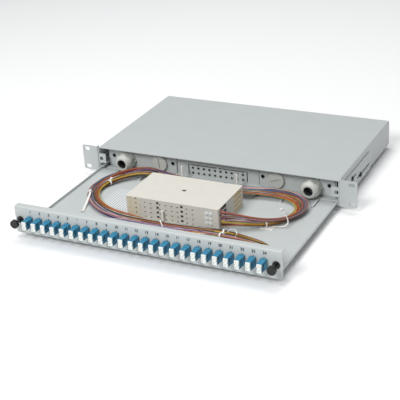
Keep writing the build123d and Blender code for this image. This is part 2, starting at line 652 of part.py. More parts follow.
def pigtail_connectors():
    """Connectors in the back of the adapters, each with a tapered boot."""
    size = PORT_SIZE - 2 * PORT_PLAY
    body_end = ADAPTER_TAIL + CONNECTOR_BODY
    solids = []
    for x in PORTS:
        for front in ports(x, ADAPTER_TAIL - CAP_PLUG_DEPTH, body_end, size):
            centre = front.center()
            wide = Pos(x, centre.Z) * Rectangle(size, size)
            narrow = Pos(x, centre.Z) * Rectangle(BOOT_TIP, BOOT_TIP)
            boot = loft([plane_at_y(body_end) * wide, plane_at_y(BOOT_END) * narrow])
            solids.append(front + boot)
    return group(solids)


def cassette_plan(inset=0.0):
    """Rounded outline of the cassettes seen from above, or one inset from it."""
    length = CASSETTE_LENGTH - 2 * inset
    depth = CASSETTE_DEPTH - 2 * inset
    outline = RectangleRounded(length, depth, CASSETTE_CORNER - inset / 2)
    return Pos(CASSETTE_X, CASSETTE_MIDDLE) * outline


def cassette_shell(level):
    """Walls and floor of one splice cassette, open above, with its fibre entries."""
    low = CARRIER_TOP + level * CASSETTE_PITCH
    shell = extrude(Plane.XY.offset(low) * cassette_plan(), CASSETTE_PITCH)
    shell -= extrude(Plane.XY.offset(low + CASSETTE_FLOOR) * cassette_plan(CASSETTE_WALL), CASSETTE_PITCH)
    entry_z = (low + ENTRY_SILL, low + CASSETTE_PITCH)
    entry_y = (CASSETTE_FRONT + ENTRY_CORNER, CASSETTE_FRONT + ENTRY_CORNER + ENTRY_WIDTH)
    shell -= block((CASSETTE_RIGHT - CASSETTE_WALL, CASSETTE_RIGHT), entry_y, entry_z)
    wall_y = (CASSETTE_FRONT, CASSETTE_FRONT + CASSETTE_WALL)
    holes = [bar(x, low + CASSETTE_PITCH / 2, LATCH_HOLE_RADIUS, *wall_y) for x in LATCH_HOLES]
    return shell - holes - block(notch_x(), notch_y(), (low, low + CASSETTE_PITCH))


def notch_x():
    """Span of the small notch at the back edge of the cassettes and their lid."""
    right = CASSETTE_RIGHT - NOTCH_INSET
    return (right - NOTCH_LENGTH, right)


def notch_y():
    """Depth of the notch, less than the wall, so that it stays closed."""
    return (CASSETTE_BACK - NOTCH_DEPTH, CASSETTE_BACK)


def comb_rows():
    """Y of each splice sleeve, in two groups with the screw boss between them."""
    pitch = COMB_GAP + COMB_RIB
    first = BOSS_RADIUS + COMB_RIB + pitch / 2 + COMB_MARGIN
    offsets = [first + i * pitch for i in range(SLEEVE_COUNT // 2)]
    return [CASSETTE_MIDDLE - y for y in reversed(offsets)] + [CASSETTE_MIDDLE + y for y in offsets]


def splice_cassette(level):
    """One cassette: shell, two round fibre guides, splice comb and screw boss."""
    floor = CARRIER_TOP + level * CASSETTE_PITCH + CASSETTE_FLOOR
    cassette = cassette_shell(level)
    for side in SIDES:
        place = Pos(CASSETTE_X + side * GUIDE_SPACING / 2, CASSETTE_MIDDLE)
        ring = place * (Circle(GUIDE_RADIUS) - Circle(GUIDE_RADIUS - GUIDE_SHEET))
        guide = extrude(Plane.XY.offset(floor) * ring, GUIDE_HEIGHT)
        middle = CASSETTE_X + side * GUIDE_SPACING / 2
        far = middle + side * 2 * GUIDE_RADIUS
        keep = block(sorted((middle, far)), (CASSETTE_FRONT, CASSETTE_BACK), (floor, floor + GUIDE_HEIGHT))
        cassette += guide & keep
    comb_x = (CASSETTE_X - COMB_LENGTH / 2, CASSETTE_X + COMB_LENGTH / 2)
    rows = comb_rows()
    step = (COMB_GAP + COMB_RIB) / 2
    edges = sorted({round(y + s * step, 3) for y in rows for s in SIDES})
    for y in edges:
        rib = block(comb_x, (y - COMB_RIB / 2, y + COMB_RIB / 2), (floor, floor + COMB_HEIGHT))
        cassette += rib
    top = CARRIER_TOP + (level + 1) * CASSETTE_PITCH
    cassette += stud(CASSETTE_X, CASSETTE_MIDDLE, BOSS_RADIUS, floor, top)
    bore = STACK_SCREW_RADIUS + STACK_SCREW_CLEARANCE
    return cassette - stud(CASSETTE_X, CASSETTE_MIDDLE, bore, CARRIER_TOP, top)


def cassette_lid():
    """Snap-on lid of the top cassette, with an oval hole over the screw."""
    hole = Pos(CASSETTE_X, CASSETTE_MIDDLE) * SlotOverall(LID_HOLE_LENGTH, LID_HOLE_WIDTH)
    lid = extrude(Plane.XY.offset(STACK_TOP) * (cassette_plan() - hole), LID_THICKNESS)
    return lid - block(notch_x(), notch_y(), (STACK_TOP, STACK_TOP + LID_THICKNESS))


def cassette_carrier():
    """Plate between the tray and the stack of cassettes."""
    plate = extrude(Plane.XY.offset(TRAY_TOP) * cassette_plan(), CARRIER_THICKNESS)
    bore = STACK_SCREW_RADIUS + STACK_SCREW_CLEARANCE
    return plate - stud(CASSETTE_X, CASSETTE_MIDDLE, bore, TRAY_TOP, CARRIER_TOP)


def stack_screw():
    """Long screw that holds the four cassettes down, its head inside the boss hole."""
    return stud(CASSETTE_X, CASSETTE_MIDDLE, STACK_SCREW_RADIUS, TRAY_TOP, STACK_TOP - STACK_SCREW_SINK)


def splice_sleeves():
    """Crimped splice sleeves in the combs of all the cassettes."""
    solids = []
    half = SLEEVE_WIDTH / 2
    span = (CASSETTE_X - SLEEVE_LENGTH / 2, CASSETTE_X + SLEEVE_LENGTH / 2)
    for level in range(CASSETTE_COUNT):
        floor = CARRIER_TOP + level * CASSETTE_PITCH + CASSETTE_FLOOR
        for y in comb_rows():
            solids.append(block(span, (y - half, y + half), (floor, floor + SLEEVE_HEIGHT)))
    return group(solids)


def fibre_posts():
    """Slim nylon posts on round feet that keep the fibres from springing out."""
    solids = []
    for x, y, top in POSTS:
        foot = stud(x, y, POST_FOOT_RADIUS, TRAY_TOP, TRAY_TOP + POST_FOOT_THICKNESS)
        solids.append(foot + stud(x, y, POST_RADIUS, TRAY_TOP, top))
    return group(solids)


def tray_label():
    """Blank paper label on the tray floor, left of the cassettes."""
    return block(LABEL_X, LABEL_Y, (TRAY_TOP, TRAY_TOP + LABEL_THICKNESS))


def tie_base():
    """Square stick-on saddle under the right-hand loop."""
    base = Pos(TIE_BASE_X, TIE_BASE_Y, TRAY_TOP) * Box(TIE_BASE_SIZE, TIE_BASE_SIZE, 2 * TIE_BASE_HEIGHT)
    return base & block((0, RACK_WIDTH), (-DRAWER_REACH, 0), (TRAY_TOP, BODY_HEIGHT))


def tie_loop(route, run):
    """Cable tie closed round a bundle halfway along one run of its route."""
    start = Vector(*route[run])
    end = Vector(*route[run + 1])
    plane = Plane(origin=(start + end) * 0.5, z_dir=end - start)
    inner = BUNDLE_RADIUS + TIE_CLEARANCE
    ring = Circle(inner + TIE_THICKNESS) - Circle(inner)
    return extrude(plane * ring, TIE_WIDTH / 2, both=True)


def cable_ties():
    """White ties round the bundles, and the saddle under the right-hand loop."""
    tied_runs = [(LOWER_ROUTE, 2), (LOWER_ROUTE, 17), (LOWER_ROUTE, 27), (UPPER_ROUTE, 20), (UPPER_ROUTE, 28)]
    return group([tie_loop(route, run) for route, run in tied_runs] + [tie_base()])


def turn_radii(points):
    """Radius at each corner: a share of the shorter run over the tangent of half the turn."""
    radii = []
    for before, here, after in zip(points, points[1:], points[2:]):
        arrive = Vector(*here) - Vector(*before)
        leave = Vector(*after) - Vector(*here)
        half_turn = math.radians(arrive.get_angle(leave)) / 2
        radii.append(BEND_SHARE * min(arrive.length, leave.length) / math.tan(half_turn))
    return radii


def tube(points, radius):
    """A round cord along straight runs joined by tangent arcs."""
    path = FilletPolyline(*points, radius=turn_radii(points))
    start = Plane(origin=path @ 0, z_dir=path % 0)
    cord = sweep(start * Circle(radius), path=path)
    return cord, path.length


def tail_route(x):
    """Points of one pigtail from its boots to the outer bundle in front of the cassettes."""
    first, last = TAIL_ENDS
    join_x = first + (last - first) * (x - PORTS[0]) / (PORTS[-1] - PORTS[0])
    front_run = [p for p in UPPER_ROUTE if p[1] < CASSETTE_FRONT]
    before, after = [(a, b) for a, b in zip(front_run, front_run[1:]) if a[0] <= join_x < b[0]][0]
    along = (join_x - before[0]) / (after[0] - before[0])
    join_y = before[1] + along * (after[1] - before[1]) - TAIL_APART
    start_z = ADAPTER_Z - PORT_SPACING / 2
    straight_y = BOOT_END + TAIL_STRAIGHT
    turn_y = straight_y + TAIL_TURN
    turn_z = start_z - TAIL_DROP
    points = [(x, BOOT_END, start_z), (x, straight_y, start_z)]
    shares = LONG_TAIL_SHARES if abs(join_x - x) > LONG_TAIL else SHORT_TAIL_SHARES
    for share in shares:
        back = (share - shares[0]) / (1 - shares[0])
        y = turn_y + back * (join_y - turn_y)
        z = turn_z + back * (TAIL_END_Z - turn_z)
        points.append((x + share * (join_x - x), y, z - TAIL_SAG * math.sin(math.pi * back)))
    return points + [(join_x, join_y, TAIL_END_Z)]


def fibre_bundle(name, route):
    """One bundle of loose fibres, plain and round, with its bends printed."""
    cord, length = tube(route, BUNDLE_RADIUS)
    section = math.pi * BUNDLE_RADIUS ** 2
    print(name, "length", round(length), "tightest bend", round(min(turn_radii(route)), 1))
    print(name, "volume over section times length", round(cord.volume / (section * length), 4))
    return cord


def pigtail_tails():
    """Thin tails from the connectors to the outer bundle."""
    solids = []
    tightest = []
    for x in PORTS:
        route = tail_route(x)
        cord, length = tube(route, TAIL_RADIUS)
        solids.append(cord)
        tightest.append(min(turn_radii(route)))
    print("pigtail_tails tightest bends", sorted(round(bend, 1) for bend in tightest))
    return group(solids)


def all_pieces():
    """Every node's name and solid."""
    pieces = {
        "top_cover": top_cover(),
        "base_plate": base_plate(),
        "ear_bracket_right": ear_bracket(),
        "ear_bracket_left": mirrored(ear_bracket()),
        "bracket_screws": bracket_screws(),
        "drawer_tray": drawer_tray(),
        "front_panel": front_panel(),
        "rear_wall": rear_wall(),
        "gland_plate_right": gland_plate(),
        "gland_plate_left": mirrored(gland_plate()),
        "gland_plate_screws": gland_plate_screws(),
        "gland_bodies": group(both_sides(gland_body())),
        "gland_seals": gland_seals(),
        "gland_nut_right": gland_nut(),
        "gland_nut_left": mirrored(gland_nut()),
        "locknuts": locknuts(),
        "blind_plugs": blind_plugs(),
        "latch_grommets": latch_grommets(),
        "latch_plunger_right": latch_plunger(),
        "latch_plunger_left": mirrored(latch_plunger()),
        "fibre_adapters": group([adapter(x) for x in PORTS]),
        "pigtail_connectors": pigtail_connectors(),
        "cassette_carrier": cassette_carrier(),
        "cassette_lid": cassette_lid(),
        "stack_screw": stack_screw(),
        "splice_sleeves": splice_sleeves(),
        "fibre_posts": fibre_posts(),
        "tray_label": tray_label(),
        "cable_ties": cable_ties(),
        "fibre_bundle_lower": fibre_bundle("fibre_bundle_lower", LOWER_ROUTE),
        "fibre_bundle_upper": fibre_bundle("fibre_bundle_upper", UPPER_ROUTE),
        "pigtail_tails": pigtail_tails(),
    }
    for level in range(CASSETTE_COUNT):
        pieces[f"splice_cassette_{level + 1}"] = splice_cassette(level)
    for number, x in enumerate(PORTS, start=1):
        pieces[f"dust_cap_{number:02d}"] = dust_cap(x)
    return pieces


os.makedirs("parts", exist_ok=True)
for name, piece in all_pieces().items():
    export_step(piece, f"parts/{name}.step")
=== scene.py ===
import math
import random

import bpy
from mathutils import Matrix, Vector


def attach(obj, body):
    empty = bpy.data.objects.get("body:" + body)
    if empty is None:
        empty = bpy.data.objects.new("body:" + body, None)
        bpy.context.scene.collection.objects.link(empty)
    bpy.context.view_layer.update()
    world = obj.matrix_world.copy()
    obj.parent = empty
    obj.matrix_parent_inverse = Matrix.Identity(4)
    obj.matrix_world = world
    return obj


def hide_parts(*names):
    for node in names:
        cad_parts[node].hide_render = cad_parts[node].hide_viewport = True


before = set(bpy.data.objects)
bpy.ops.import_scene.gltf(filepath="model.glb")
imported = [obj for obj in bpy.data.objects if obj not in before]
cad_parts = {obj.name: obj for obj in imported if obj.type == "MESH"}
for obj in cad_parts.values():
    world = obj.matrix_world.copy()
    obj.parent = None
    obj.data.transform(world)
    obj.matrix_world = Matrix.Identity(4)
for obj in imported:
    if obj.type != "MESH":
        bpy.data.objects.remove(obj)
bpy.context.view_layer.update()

# Sizes are in millimetres and are multiplied by MM where they meet Blender, which works in metres.
MM = 0.001

# The photograph's view: where the camera stands round its target, and its focal length in pixels
CAMERA_AZIMUTH = 28.0
CAMERA_ELEVATION = 25.25
CAMERA_ROLL = -3.97
CAMERA_DISTANCE = 1716.0
CAMERA_TARGET = (-7.1, -75.3, 20.0)
FOCAL_PIXELS = 1107.0
PICTURE_PIXELS = 400
OPTICAL_AXIS = (187.8, 194.9)
SENSOR_WIDTH = 36.0

# Sizes that the dressed pieces share with the solids
PANEL_FACE = -239.0
PORT_PITCH = 16.5
PORT_COUNT = 24
PORT_Z = 22.3
PORT_SPACING = 6.25
ADAPTER_NOSE = -256.0
ADAPTER_BACK = -223.5
ADAPTER_HALF_WIDTH = 4.0
ADAPTER_HALF_HEIGHT = 6.45
COLLAR_FRONT = -246.5
COLLAR_EDGE = 1.0
NOTCH_FRONT = -255.6
NOTCH_BACK = -249.2
CAP_FACE = -258.0
CAP_HALF_WIDTH = 3.5
CAP_WAIST = 0.9
PLUG_HALF = 2.4
PLUG_LENGTH = 6.0
CONNECTOR_BACK = -210.5
BOOT_END = -193.5
BOOT_SHOWN = -200.0
LATCH_X = 207.5
KNOB_FACE = -257.8
KNOB_BACK = -252.8
KNOB_RADIUS = 6.7
PIN_RADIUS = 1.7
PIN_TIP = -234.0
TRAY_TOP = 3.1
CASSETTE_RIGHT = 76.0
CASSETTE_FRONT = -140.5
STACK_MIDDLE = (-2.0, -95.5)
CASSETTE_LOW = 5.2
CASSETTE_PITCH = 7.8
CASSETTES = 4
PORTS = [(i - (PORT_COUNT - 1) / 2) * PORT_PITCH for i in range(PORT_COUNT)]

# Routes of the two fibre bundles: the same points as the solids' tubes
LOWER_ROUTE = [
    (78.5, -133.0, 13.0), (100.0, -126.5, 12.0), (126.0, -114.0, 9.0), (147.0, -98.0, 7.6),
    (161.0, -75.0, 7.6), (164.5, -49.0, 7.5), (157.0, -30.0, 8.5), (141.5, -18.5, 9.5),
    (118.0, -14.5, 11.0), (92.0, -17.5, 12.0), (64.0, -23.5, 13.0), (28.0, -26.0, 13.0),
    (-15.0, -26.5, 13.0), (-56.0, -22.5, 13.0), (-88.0, -13.5, 12.5), (-115.0, -9.0, 12.0),
    (-138.0, -20.0, 11.0), (-156.0, -41.0, 9.5), (-166.0, -64.0, 8.0), (-165.0, -88.0, 7.6),
    (-152.5, -109.0, 7.6), (-131.0, -127.5, 7.6), (-104.0, -140.5, 7.6), (-72.0, -148.0, 7.6),
    (-38.0, -152.5, 7.6), (-2.0, -154.0, 7.6), (34.0, -151.0, 7.6), (70.0, -148.5, 7.6),
    (106.0, -150.0, 7.6), (140.0, -156.0, 7.6), (170.0, -166.0, 7.6),
]
UPPER_ROUTE = [
    (78.5, -134.5, 29.0), (101.0, -126.5, 25.0), (125.0, -116.0, 19.0), (148.0, -100.5, 14.0),
    (167.0, -78.5, 12.0), (174.5, -50.0, 12.0), (170.0, -28.0, 13.0), (154.5, -13.5, 15.0),
    (132.0, -6.5, 15.5), (107.0, -6.0, 15.5), (82.0, -11.0, 15.0), (55.0, -14.5, 14.5),
    (18.0, -14.0, 14.0), (-24.0, -13.5, 14.0), (-64.0, -9.5, 14.5), (-95.0, -1.0, 15.5),
    (-121.0, 3.5, 16.0), (-145.5, -8.5, 15.0), (-165.0, -30.5, 13.0), (-176.5, -56.0, 11.0),
    (-177.5, -84.0, 9.5), (-165.5, -111.0, 8.5), (-143.0, -134.0, 8.2), (-114.0, -151.0, 7.8),
    (-80.0, -160.5, 7.6), (-44.0, -165.5, 7.6), (-6.0, -166.5, 7.6), (32.0, -163.0, 7.6),
    (69.0, -160.0, 7.6), (106.0, -161.5, 7.6), (141.0, -167.5, 7.6), (172.0, -177.0, 7.6),
]
FIBRE_RADIUS = 0.45
FIBRE_COLOURS = (
    "#C8322B", "#3E9A46", "#2B5FA8", "#E3C23A", "#F0EFEA", "#8B8F92",
    "#7A4A2A", "#6A3E8E", "#3FA9B5", "#23262B", "#E0762C", "#D98AA4",
)


# Materials

def colour(code):
    """An sRGB hex colour as the linear numbers that shaders take."""
    channels = [int(code[i:i + 2], 16) / 255 for i in (1, 3, 5)]
    linear = [c / 12.92 if c <= 0.04045 else ((c + 0.055) / 1.055) ** 2.4 for c in channels]
    return (*linear, 1.0)


def add_node(tree, kind, values=None, links=None, **settings):
    """Adds a node with its settings, its socket values and its links from other sockets."""
    made = tree.nodes.new(kind)
    for name, value in settings.items():
        setattr(made, name, value)
    for name, value in (values or {}).items():
        made.inputs[name].default_value = value
    for name, source in (links or {}).items():
        tree.links.new(source, made.inputs[name])
    return made


def start_material(name, **values):
    """A material with one Principled shader, and the socket with the place on the piece."""
    material = bpy.data.materials.new(name)
    material.use_nodes = True
    tree = material.node_tree
    shader = tree.nodes["Principled BSDF"]
    for key, value in values.items():
        shader.inputs[key].default_value = value
    place = tree.nodes.new("ShaderNodeTexCoord").outputs["Object"]
    return material, tree, shader, place


def grain_size(size_mm):
    """Noise scale that gives grains of about this size on a place in metres."""
    return 1.0 / (size_mm * MM)


def cloudy_material(name, low, high, cloud_mm, **values):
    """A material whose tone drifts between two colours, and the socket with its clouds."""
    material, tree, shader, place = start_material(name, **values)
    cloud = add_node(tree, "ShaderNodeTexNoise", {"Scale": grain_size(cloud_mm)}, {"Vector": place})
    tone = add_node(tree, "ShaderNodeValToRGB", links={"Fac": cloud.outputs["Fac"]})
    tone.color_ramp.elements[0].color = colour(low)
    tone.color_ramp.elements[1].color = colour(high)
    tree.links.new(tone.outputs["Color"], shader.inputs["Base Color"])
    return material, tree, shader, place, cloud.outputs["Fac"]


def powder_coat(name, low, high):
    """Powder-coated sheet steel: satin, with the fine orange peel that baking leaves."""
    # Tone drifts over hand-sized areas, as a sprayed coat does.
    material, tree, shader, place, _ = cloudy_material(name, low, high, 40.0, IOR=1.5)
    handled = add_node(tree, "ShaderNodeTexNoise", {"Scale": grain_size(6.0)}, {"Vector": place})
    sheen = add_node(tree, "ShaderNodeMapRange", {"To Min": 0.42, "To Max": 0.56},
                     {"Value": handled.outputs["Fac"]})
    tree.links.new(sheen.outputs["Result"], shader.inputs["Roughness"])
    # Orange peel is about 0.8 mm across, drawn at 1.6 mm to show.
    peel = add_node(tree, "ShaderNodeTexNoise", {"Scale": grain_size(1.6)}, {"Vector": place})
    bump = add_node(tree, "ShaderNodeBump", {"Strength": 0.35, "Distance": 0.05 * MM},
                    {"Height": peel.outputs["Fac"]})
    tree.links.new(bump.outputs["Normal"], shader.inputs["Normal"])
    return material


def moulded_plastic(name, low, high, roughness, flow_mm=3.0):
    """Injection-moulded plastic: even colour, faint flow marks, a fine spark-eroded grain."""
    material, tree, shader, place, flow = cloudy_material(name, low, high, flow_mm, IOR=1.5)
    gloss = add_node(tree, "ShaderNodeMapRange", {"To Min": roughness - 0.05, "To Max": roughness + 0.07},
                     {"Value": flow})
    tree.links.new(gloss.outputs["Result"], shader.inputs["Roughness"])
    # Spark-eroded grain is about 0.1 mm across, drawn at 0.4 mm to show.
    grain = add_node(tree, "ShaderNodeTexNoise", {"Scale": grain_size(0.4)}, {"Vector": place})
    bump = add_node(tree, "ShaderNodeBump", {"Strength": 0.25, "Distance": 0.02 * MM},
                    {"Height": grain.outputs["Fac"]})
    tree.links.new(bump.outputs["Normal"], shader.inputs["Normal"])
    return material


def plated_steel(name, low, high, roughness):
    """Plated or blackened steel: metallic, with a slightly cloudy plating."""
    # The clouds are about as wide as a screw's cross arm is long.
    material, tree, shader, _, cloud = cloudy_material(name, low, high, 1.2, Metallic=1.0)
    gloss = add_node(tree, "ShaderNodeMapRange", {"To Min": roughness - 0.08, "To Max": roughness + 0.1},
                     {"Value": cloud})
    tree.links.new(gloss.outputs["Result"], shader.inputs["Roughness"])
    return material


def ruled_paper():
    """Blank paper form: printed rules along it, every 4.5 mm."""
    material, tree, shader, place = start_material("blank_ruled_paper", Roughness=0.8)
    rules = add_node(tree, "ShaderNodeTexWave", {"Scale": 0.314 / (4.5 * MM)}, {"Vector": place},
                     wave_type="BANDS", bands_direction="X")
    tone = add_node(tree, "ShaderNodeValToRGB", links={"Fac": rules.outputs["Fac"]})
    tone.color_ramp.elements[0].position = 0.12
    tone.color_ramp.elements[0].color = colour("#A2A6AA")
    tone.color_ramp.elements[1].position = 0.4
    tone.color_ramp.elements[1].color = colour("#D6DADB")
    tree.links.new(tone.outputs["Color"], shader.inputs["Base Color"])
    # Paper fibres are about 0.05 mm across, drawn at 0.3 mm to show.
    fibre = add_node(tree, "ShaderNodeTexNoise", {"Scale": grain_size(0.3)}, {"Vector": place})
    bump = add_node(tree, "ShaderNodeBump", {"Strength": 0.2, "Distance": 0.02 * MM},
                    {"Height": fibre.outputs["Fac"]})
    tree.links.new(bump.outputs["Normal"], shader.inputs["Normal"])
    return material


def coloured_buffer():
    """Buffer jackets of the fibres: smooth extruded plastic, each strand in its own colour."""
    material, tree, shader, place = start_material("coloured_fibre_buffer", Roughness=0.35, IOR=1.48)
    strand = add_node(tree, "ShaderNodeAttribute", attribute_name="buffer_colour")
    drift = add_node(tree, "ShaderNodeTexNoise", {"Scale": grain_size(2.0)}, {"Vector": place})
    shade = add_node(tree, "ShaderNodeMapRange", {"To Min": 0.85, "To Max": 1.1},
                     {"Value": drift.outputs["Fac"]})
    mixed = add_node(tree, "ShaderNodeVectorMath", links={0: strand.outputs["Color"]}, operation="SCALE")
    tree.links.new(shade.outputs["Result"], mixed.inputs["Scale"])
    tree.links.new(mixed.outputs["Vector"], shader.inputs["Base Color"])
    return material


# Sheet steel under polyester powder: a soft satin grey, the drawer a shade lighter than the housing.
HOUSING = powder_coat("powder_coated_housing_steel", "#B9BEBE", "#BFC4C4")
DRAWER = powder_coat("powder_coated_drawer_steel", "#BDC2C1", "#C3C8C7")
# Fasteners: blackened screws that catch a dull light, zinc with a cool silver cloud; crimps of soft aluminium.
BLACKENED = plated_steel("blackened_steel_screw", "#2A2B2C", "#3A3B3C", 0.45)
ZINC = plated_steel("zinc_plated_steel", "#A9A9A5", "#BDBDB9", 0.35)
ALUMINIUM = plated_steel("crimped_aluminium", "#C4C5C8", "#D6D7D9", 0.3)
# Glands in warm light grey polyamide and knobs in black nylon, both with a satin, slightly waxy face.
POLYAMIDE = moulded_plastic("moulded_grey_polyamide", "#BEC0BA", "#C8CAC4", 0.45)
BLACK_NYLON = moulded_plastic("moulded_black_nylon", "#0B0C0C", "#141515", 0.4)
# Adapters, connectors and caps: glossy teal blue, deeper blue, and an off-white that looks soft.
BLUE = moulded_plastic("moulded_blue_adapter_plastic", "#1F7699", "#2783A7", 0.25)
CONNECTOR_BLUE = moulded_plastic("moulded_blue_connector_plastic", "#1B73AC", "#2180BC", 0.3)
CAP_WHITE = moulded_plastic("moulded_white_cap_plastic", "#DDE1DD", "#E8EBE7", 0.42)
# Cassettes in matt cream ABS with faint flow marks; ties in clean white nylon; seals in dead black rubber.
CREAM = moulded_plastic("moulded_cream_cassette_abs", "#D5D2C8", "#DCD9CF", 0.5, 12.0)
NYLON = moulded_plastic("white_nylon_tie", "#E6E5DF", "#F0EFEA", 0.4)
RUBBER = moulded_plastic("black_epdm_rubber", "#161616", "#202020", 0.7)
# Panes and marks of the cassettes: honey-coloured, paler and dark brown ABS; the dark brown also paints the
# shade behind the front dots and in the lid's hole.
TAN = moulded_plastic("translucent_tan_abs", "#C9A768", "#D6B880", 0.35, 8.0)
TAN_LIGHT = moulded_plastic("pale_tan_abs", "#D5CDB4", "#DDD6C0", 0.4, 8.0)
DARK_BROWN_AND_PAINTED_SHADE = moulded_plastic("brown_abs_and_painted_shade", "#241C16", "#32291F", 0.5, 8.0)
# Printing: a matt paper form with grey rules, dull black figures, and half-gloss jackets on the fibres.
PAPER = ruled_paper()
INK = moulded_plastic("screen_printed_ink", "#1C1E20", "#26282A", 0.6, 5.0)
BUFFER = coloured_buffer()


# Shaping

def deselect():
    """Nothing selected, nothing active."""
    bpy.ops.object.select_all(action="DESELECT")
    bpy.context.view_layer.objects.active = None


def activate(piece):
    """Only this piece selected and active."""
    deselect()
    piece.select_set(True)
    bpy.context.view_layer.objects.active = piece


def edit_whole(piece):
    """Edit mode on this piece, with all of it selected."""
    activate(piece)
    bpy.ops.object.mode_set(mode="EDIT")
    bpy.ops.mesh.select_all(action="SELECT")


def settle(piece):
    """Puts the piece's place, turn and size into its mesh."""
    activate(piece)
    bpy.ops.object.transform_apply(location=True, rotation=True, scale=True)


def modify(piece, kind, **settings):
    """Adds a modifier with its settings and applies it."""
    activate(piece)
    bpy.ops.object.modifier_add(type=kind)
    modifier = piece.modifiers[-1]
    for name, value in settings.items():
        setattr(modifier, name, value)
    bpy.ops.object.modifier_apply(modifier=modifier.name)


def even_out(piece, angle=30.0):
    """Smooths the shading; the large faces set that of their corners, so flat sheet looks flat."""
    bpy.ops.object.shade_smooth_by_angle(angle=math.radians(angle))
    modify(piece, "WEIGHTED_NORMAL", keep_sharp=True)


def soften(piece, width_mm, segments=2, angle=30.0):
    """Rounds the sharp edges by a real radius and smooths what is left."""
    modify(piece, "BEVEL", width=width_mm * MM, segments=segments, limit_method="ANGLE",
           angle_limit=math.radians(angle))
    even_out(piece, angle)


def dress(piece, body, material, slot, *nodes):
    """Gives a finished piece its material, its body and the nodes it stands for; the slot it is given is not
    used.
    """
    piece.data.materials.clear()
    piece.data.materials.append(material)
    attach(piece, body)
    if nodes:
        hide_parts(*nodes)


def eased_copy(node, body, material, slot, edge_mm):
    """A copy of a solid with its triangles merged back into faces and its edges eased."""
    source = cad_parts[node]
    piece = bpy.data.objects.new(f"{node}_eased", source.data.copy())
    bpy.context.collection.objects.link(piece)
    edit_whole(piece)
    bpy.ops.mesh.remove_doubles(threshold=0.002 * MM)
    bpy.ops.mesh.dissolve_limited(angle_limit=math.radians(0.5))
    bpy.ops.object.mode_set(mode="OBJECT")
    soften(piece, edge_mm)
    dress(piece, body, material, slot, node)
    return piece


def block(name, low, high):
    """A box between two corners, in millimetres, its place already in its mesh."""
    deselect()
    middle = [(a + b) / 2 * MM for a, b in zip(low, high)]
    bpy.ops.mesh.primitive_cube_add(size=1, location=middle)
    piece = bpy.context.object
    piece.name = name
    piece.scale = [(b - a) * MM for a, b in zip(low, high)]
    settle(piece)
    return piece


def round_bar(name, x, z, radius, y_front, y_back, sides=48):
    """A round bar along Y, in millimetres."""
    deselect()
    place = (x * MM, (y_front + y_back) / 2 * MM, z * MM)
    bpy.ops.mesh.primitive_cylinder_add(vertices=sides, radius=radius * MM, depth=(y_back - y_front) * MM,
                                        location=place, rotation=(math.radians(90), 0, 0))
    piece = bpy.context.object
    piece.name = name
    settle(piece)
    return piece


# Camera, light and floor

def place_camera():
    """Camera at the photograph's viewing angle, its picture turned by a small roll."""
    azimuth = math.radians(CAMERA_AZIMUTH)
    elevation = math.radians(CAMERA_ELEVATION)
    roll = math.radians(CAMERA_ROLL)
    back = Vector((math.sin(azimuth) * math.cos(elevation), -math.cos(azimuth) * math.cos(elevation),
                   math.sin(elevation)))
    right = Vector((math.cos(azimuth), math.sin(azimuth), 0))
    up = back.cross(right)
    turned_right = math.cos(roll) * right + math.sin(roll) * up
    turned_up = -math.sin(roll) * right + math.cos(roll) * up
    place = (Vector(CAMERA_TARGET) + back * CAMERA_DISTANCE) * MM
    lens = bpy.data.cameras.new("camera")
    lens.sensor_width = SENSOR_WIDTH
    lens.lens = FOCAL_PIXELS * SENSOR_WIDTH / PICTURE_PIXELS
    lens.shift_x = (PICTURE_PIXELS / 2 - OPTICAL_AXIS[0]) / PICTURE_PIXELS
    lens.shift_y = (OPTICAL_AXIS[1] - PICTURE_PIXELS / 2) / PICTURE_PIXELS
    lens.clip_start = 0.05
    camera = bpy.data.objects.new("camera", lens)
    bpy.context.collection.objects.link(camera)
    turn = Matrix((turned_right, turned_up, back)).transposed()
    camera.matrix_world = Matrix.Translation(place) @ turn.to_4x4()
    bpy.context.scene.camera = camera


def area_light(name, place, target, size, power):
    """A soft square white light that looks at a point."""
    lamp = bpy.data.lights.new(name, "AREA")
    lamp.size = size
    lamp.energy = power
    light = bpy.data.objects.new(name, lamp)
    light.location = place
    light.rotation_euler = (Vector(target) - Vector(place)).to_track_quat("-Z", "Y").to_euler()
    bpy.context.collection.objects.link(light)


def light_the_studio():
    """Pale surroundings, a soft light from the front and a soft key from above and behind."""
    world = bpy.data.worlds.new("pale_studio")
    world.use_nodes = True
    walls = world.node_tree.nodes["Background"]
    walls.inputs["Color"].default_value = colour("#F4F6F8")
    walls.inputs["Strength"].default_value = 0.34
    bpy.context.scene.world = world
    area_light("front", place=(-0.3, -2.1, 1.85), target=(0, -0.05, 0), size=0.9, power=45.0)
    area_light("top", place=(-0.15, 0.35, 2.4), target=(0, 0, 0), size=1.7, power=31.0)
    bpy.context.scene.view_settings.view_transform = "Standard"


FLOOR_GAP = 7.5


def lay_floor():
    """Plain pale floor a little under the box, so that a dark line shows along its lower edges."""
    deselect()
    bpy.ops.mesh.primitive_plane_add(size=12, location=(0, 0, -FLOOR_GAP * MM))
    floor = bpy.context.object
    floor.name = "floor"
    material, _, shader, _ = start_material("pale_matt_paper_floor", Roughness=0.9)
    shader.inputs["Base Color"].default_value = colour("#FDFDFD")
    floor.data.materials.append(material)


# Fibres

def smooth_line(points):
    """Points along the NURBS spline that a route's points control, in metres."""
    curve = bpy.data.curves.new("route", "CURVE")
    curve.dimensions = "3D"
    curve.resolution_u = 10
    spline = curve.splines.new("NURBS")
    spline.points.add(len(points) - 1)
    for control, point in zip(spline.points, points):
        control.co = (*[c * MM for c in point], 1)
    spline.order_u = 3
    spline.use_endpoint_u = True
    holder = bpy.data.objects.new("route", curve)
    bpy.context.collection.objects.link(holder)
    bpy.context.view_layer.update()
    mesh = bpy.data.meshes.new_from_object(holder)
    line = [v.co.copy() for v in mesh.vertices]
    bpy.data.objects.remove(holder)
    bpy.data.meshes.remove(mesh)
    return line


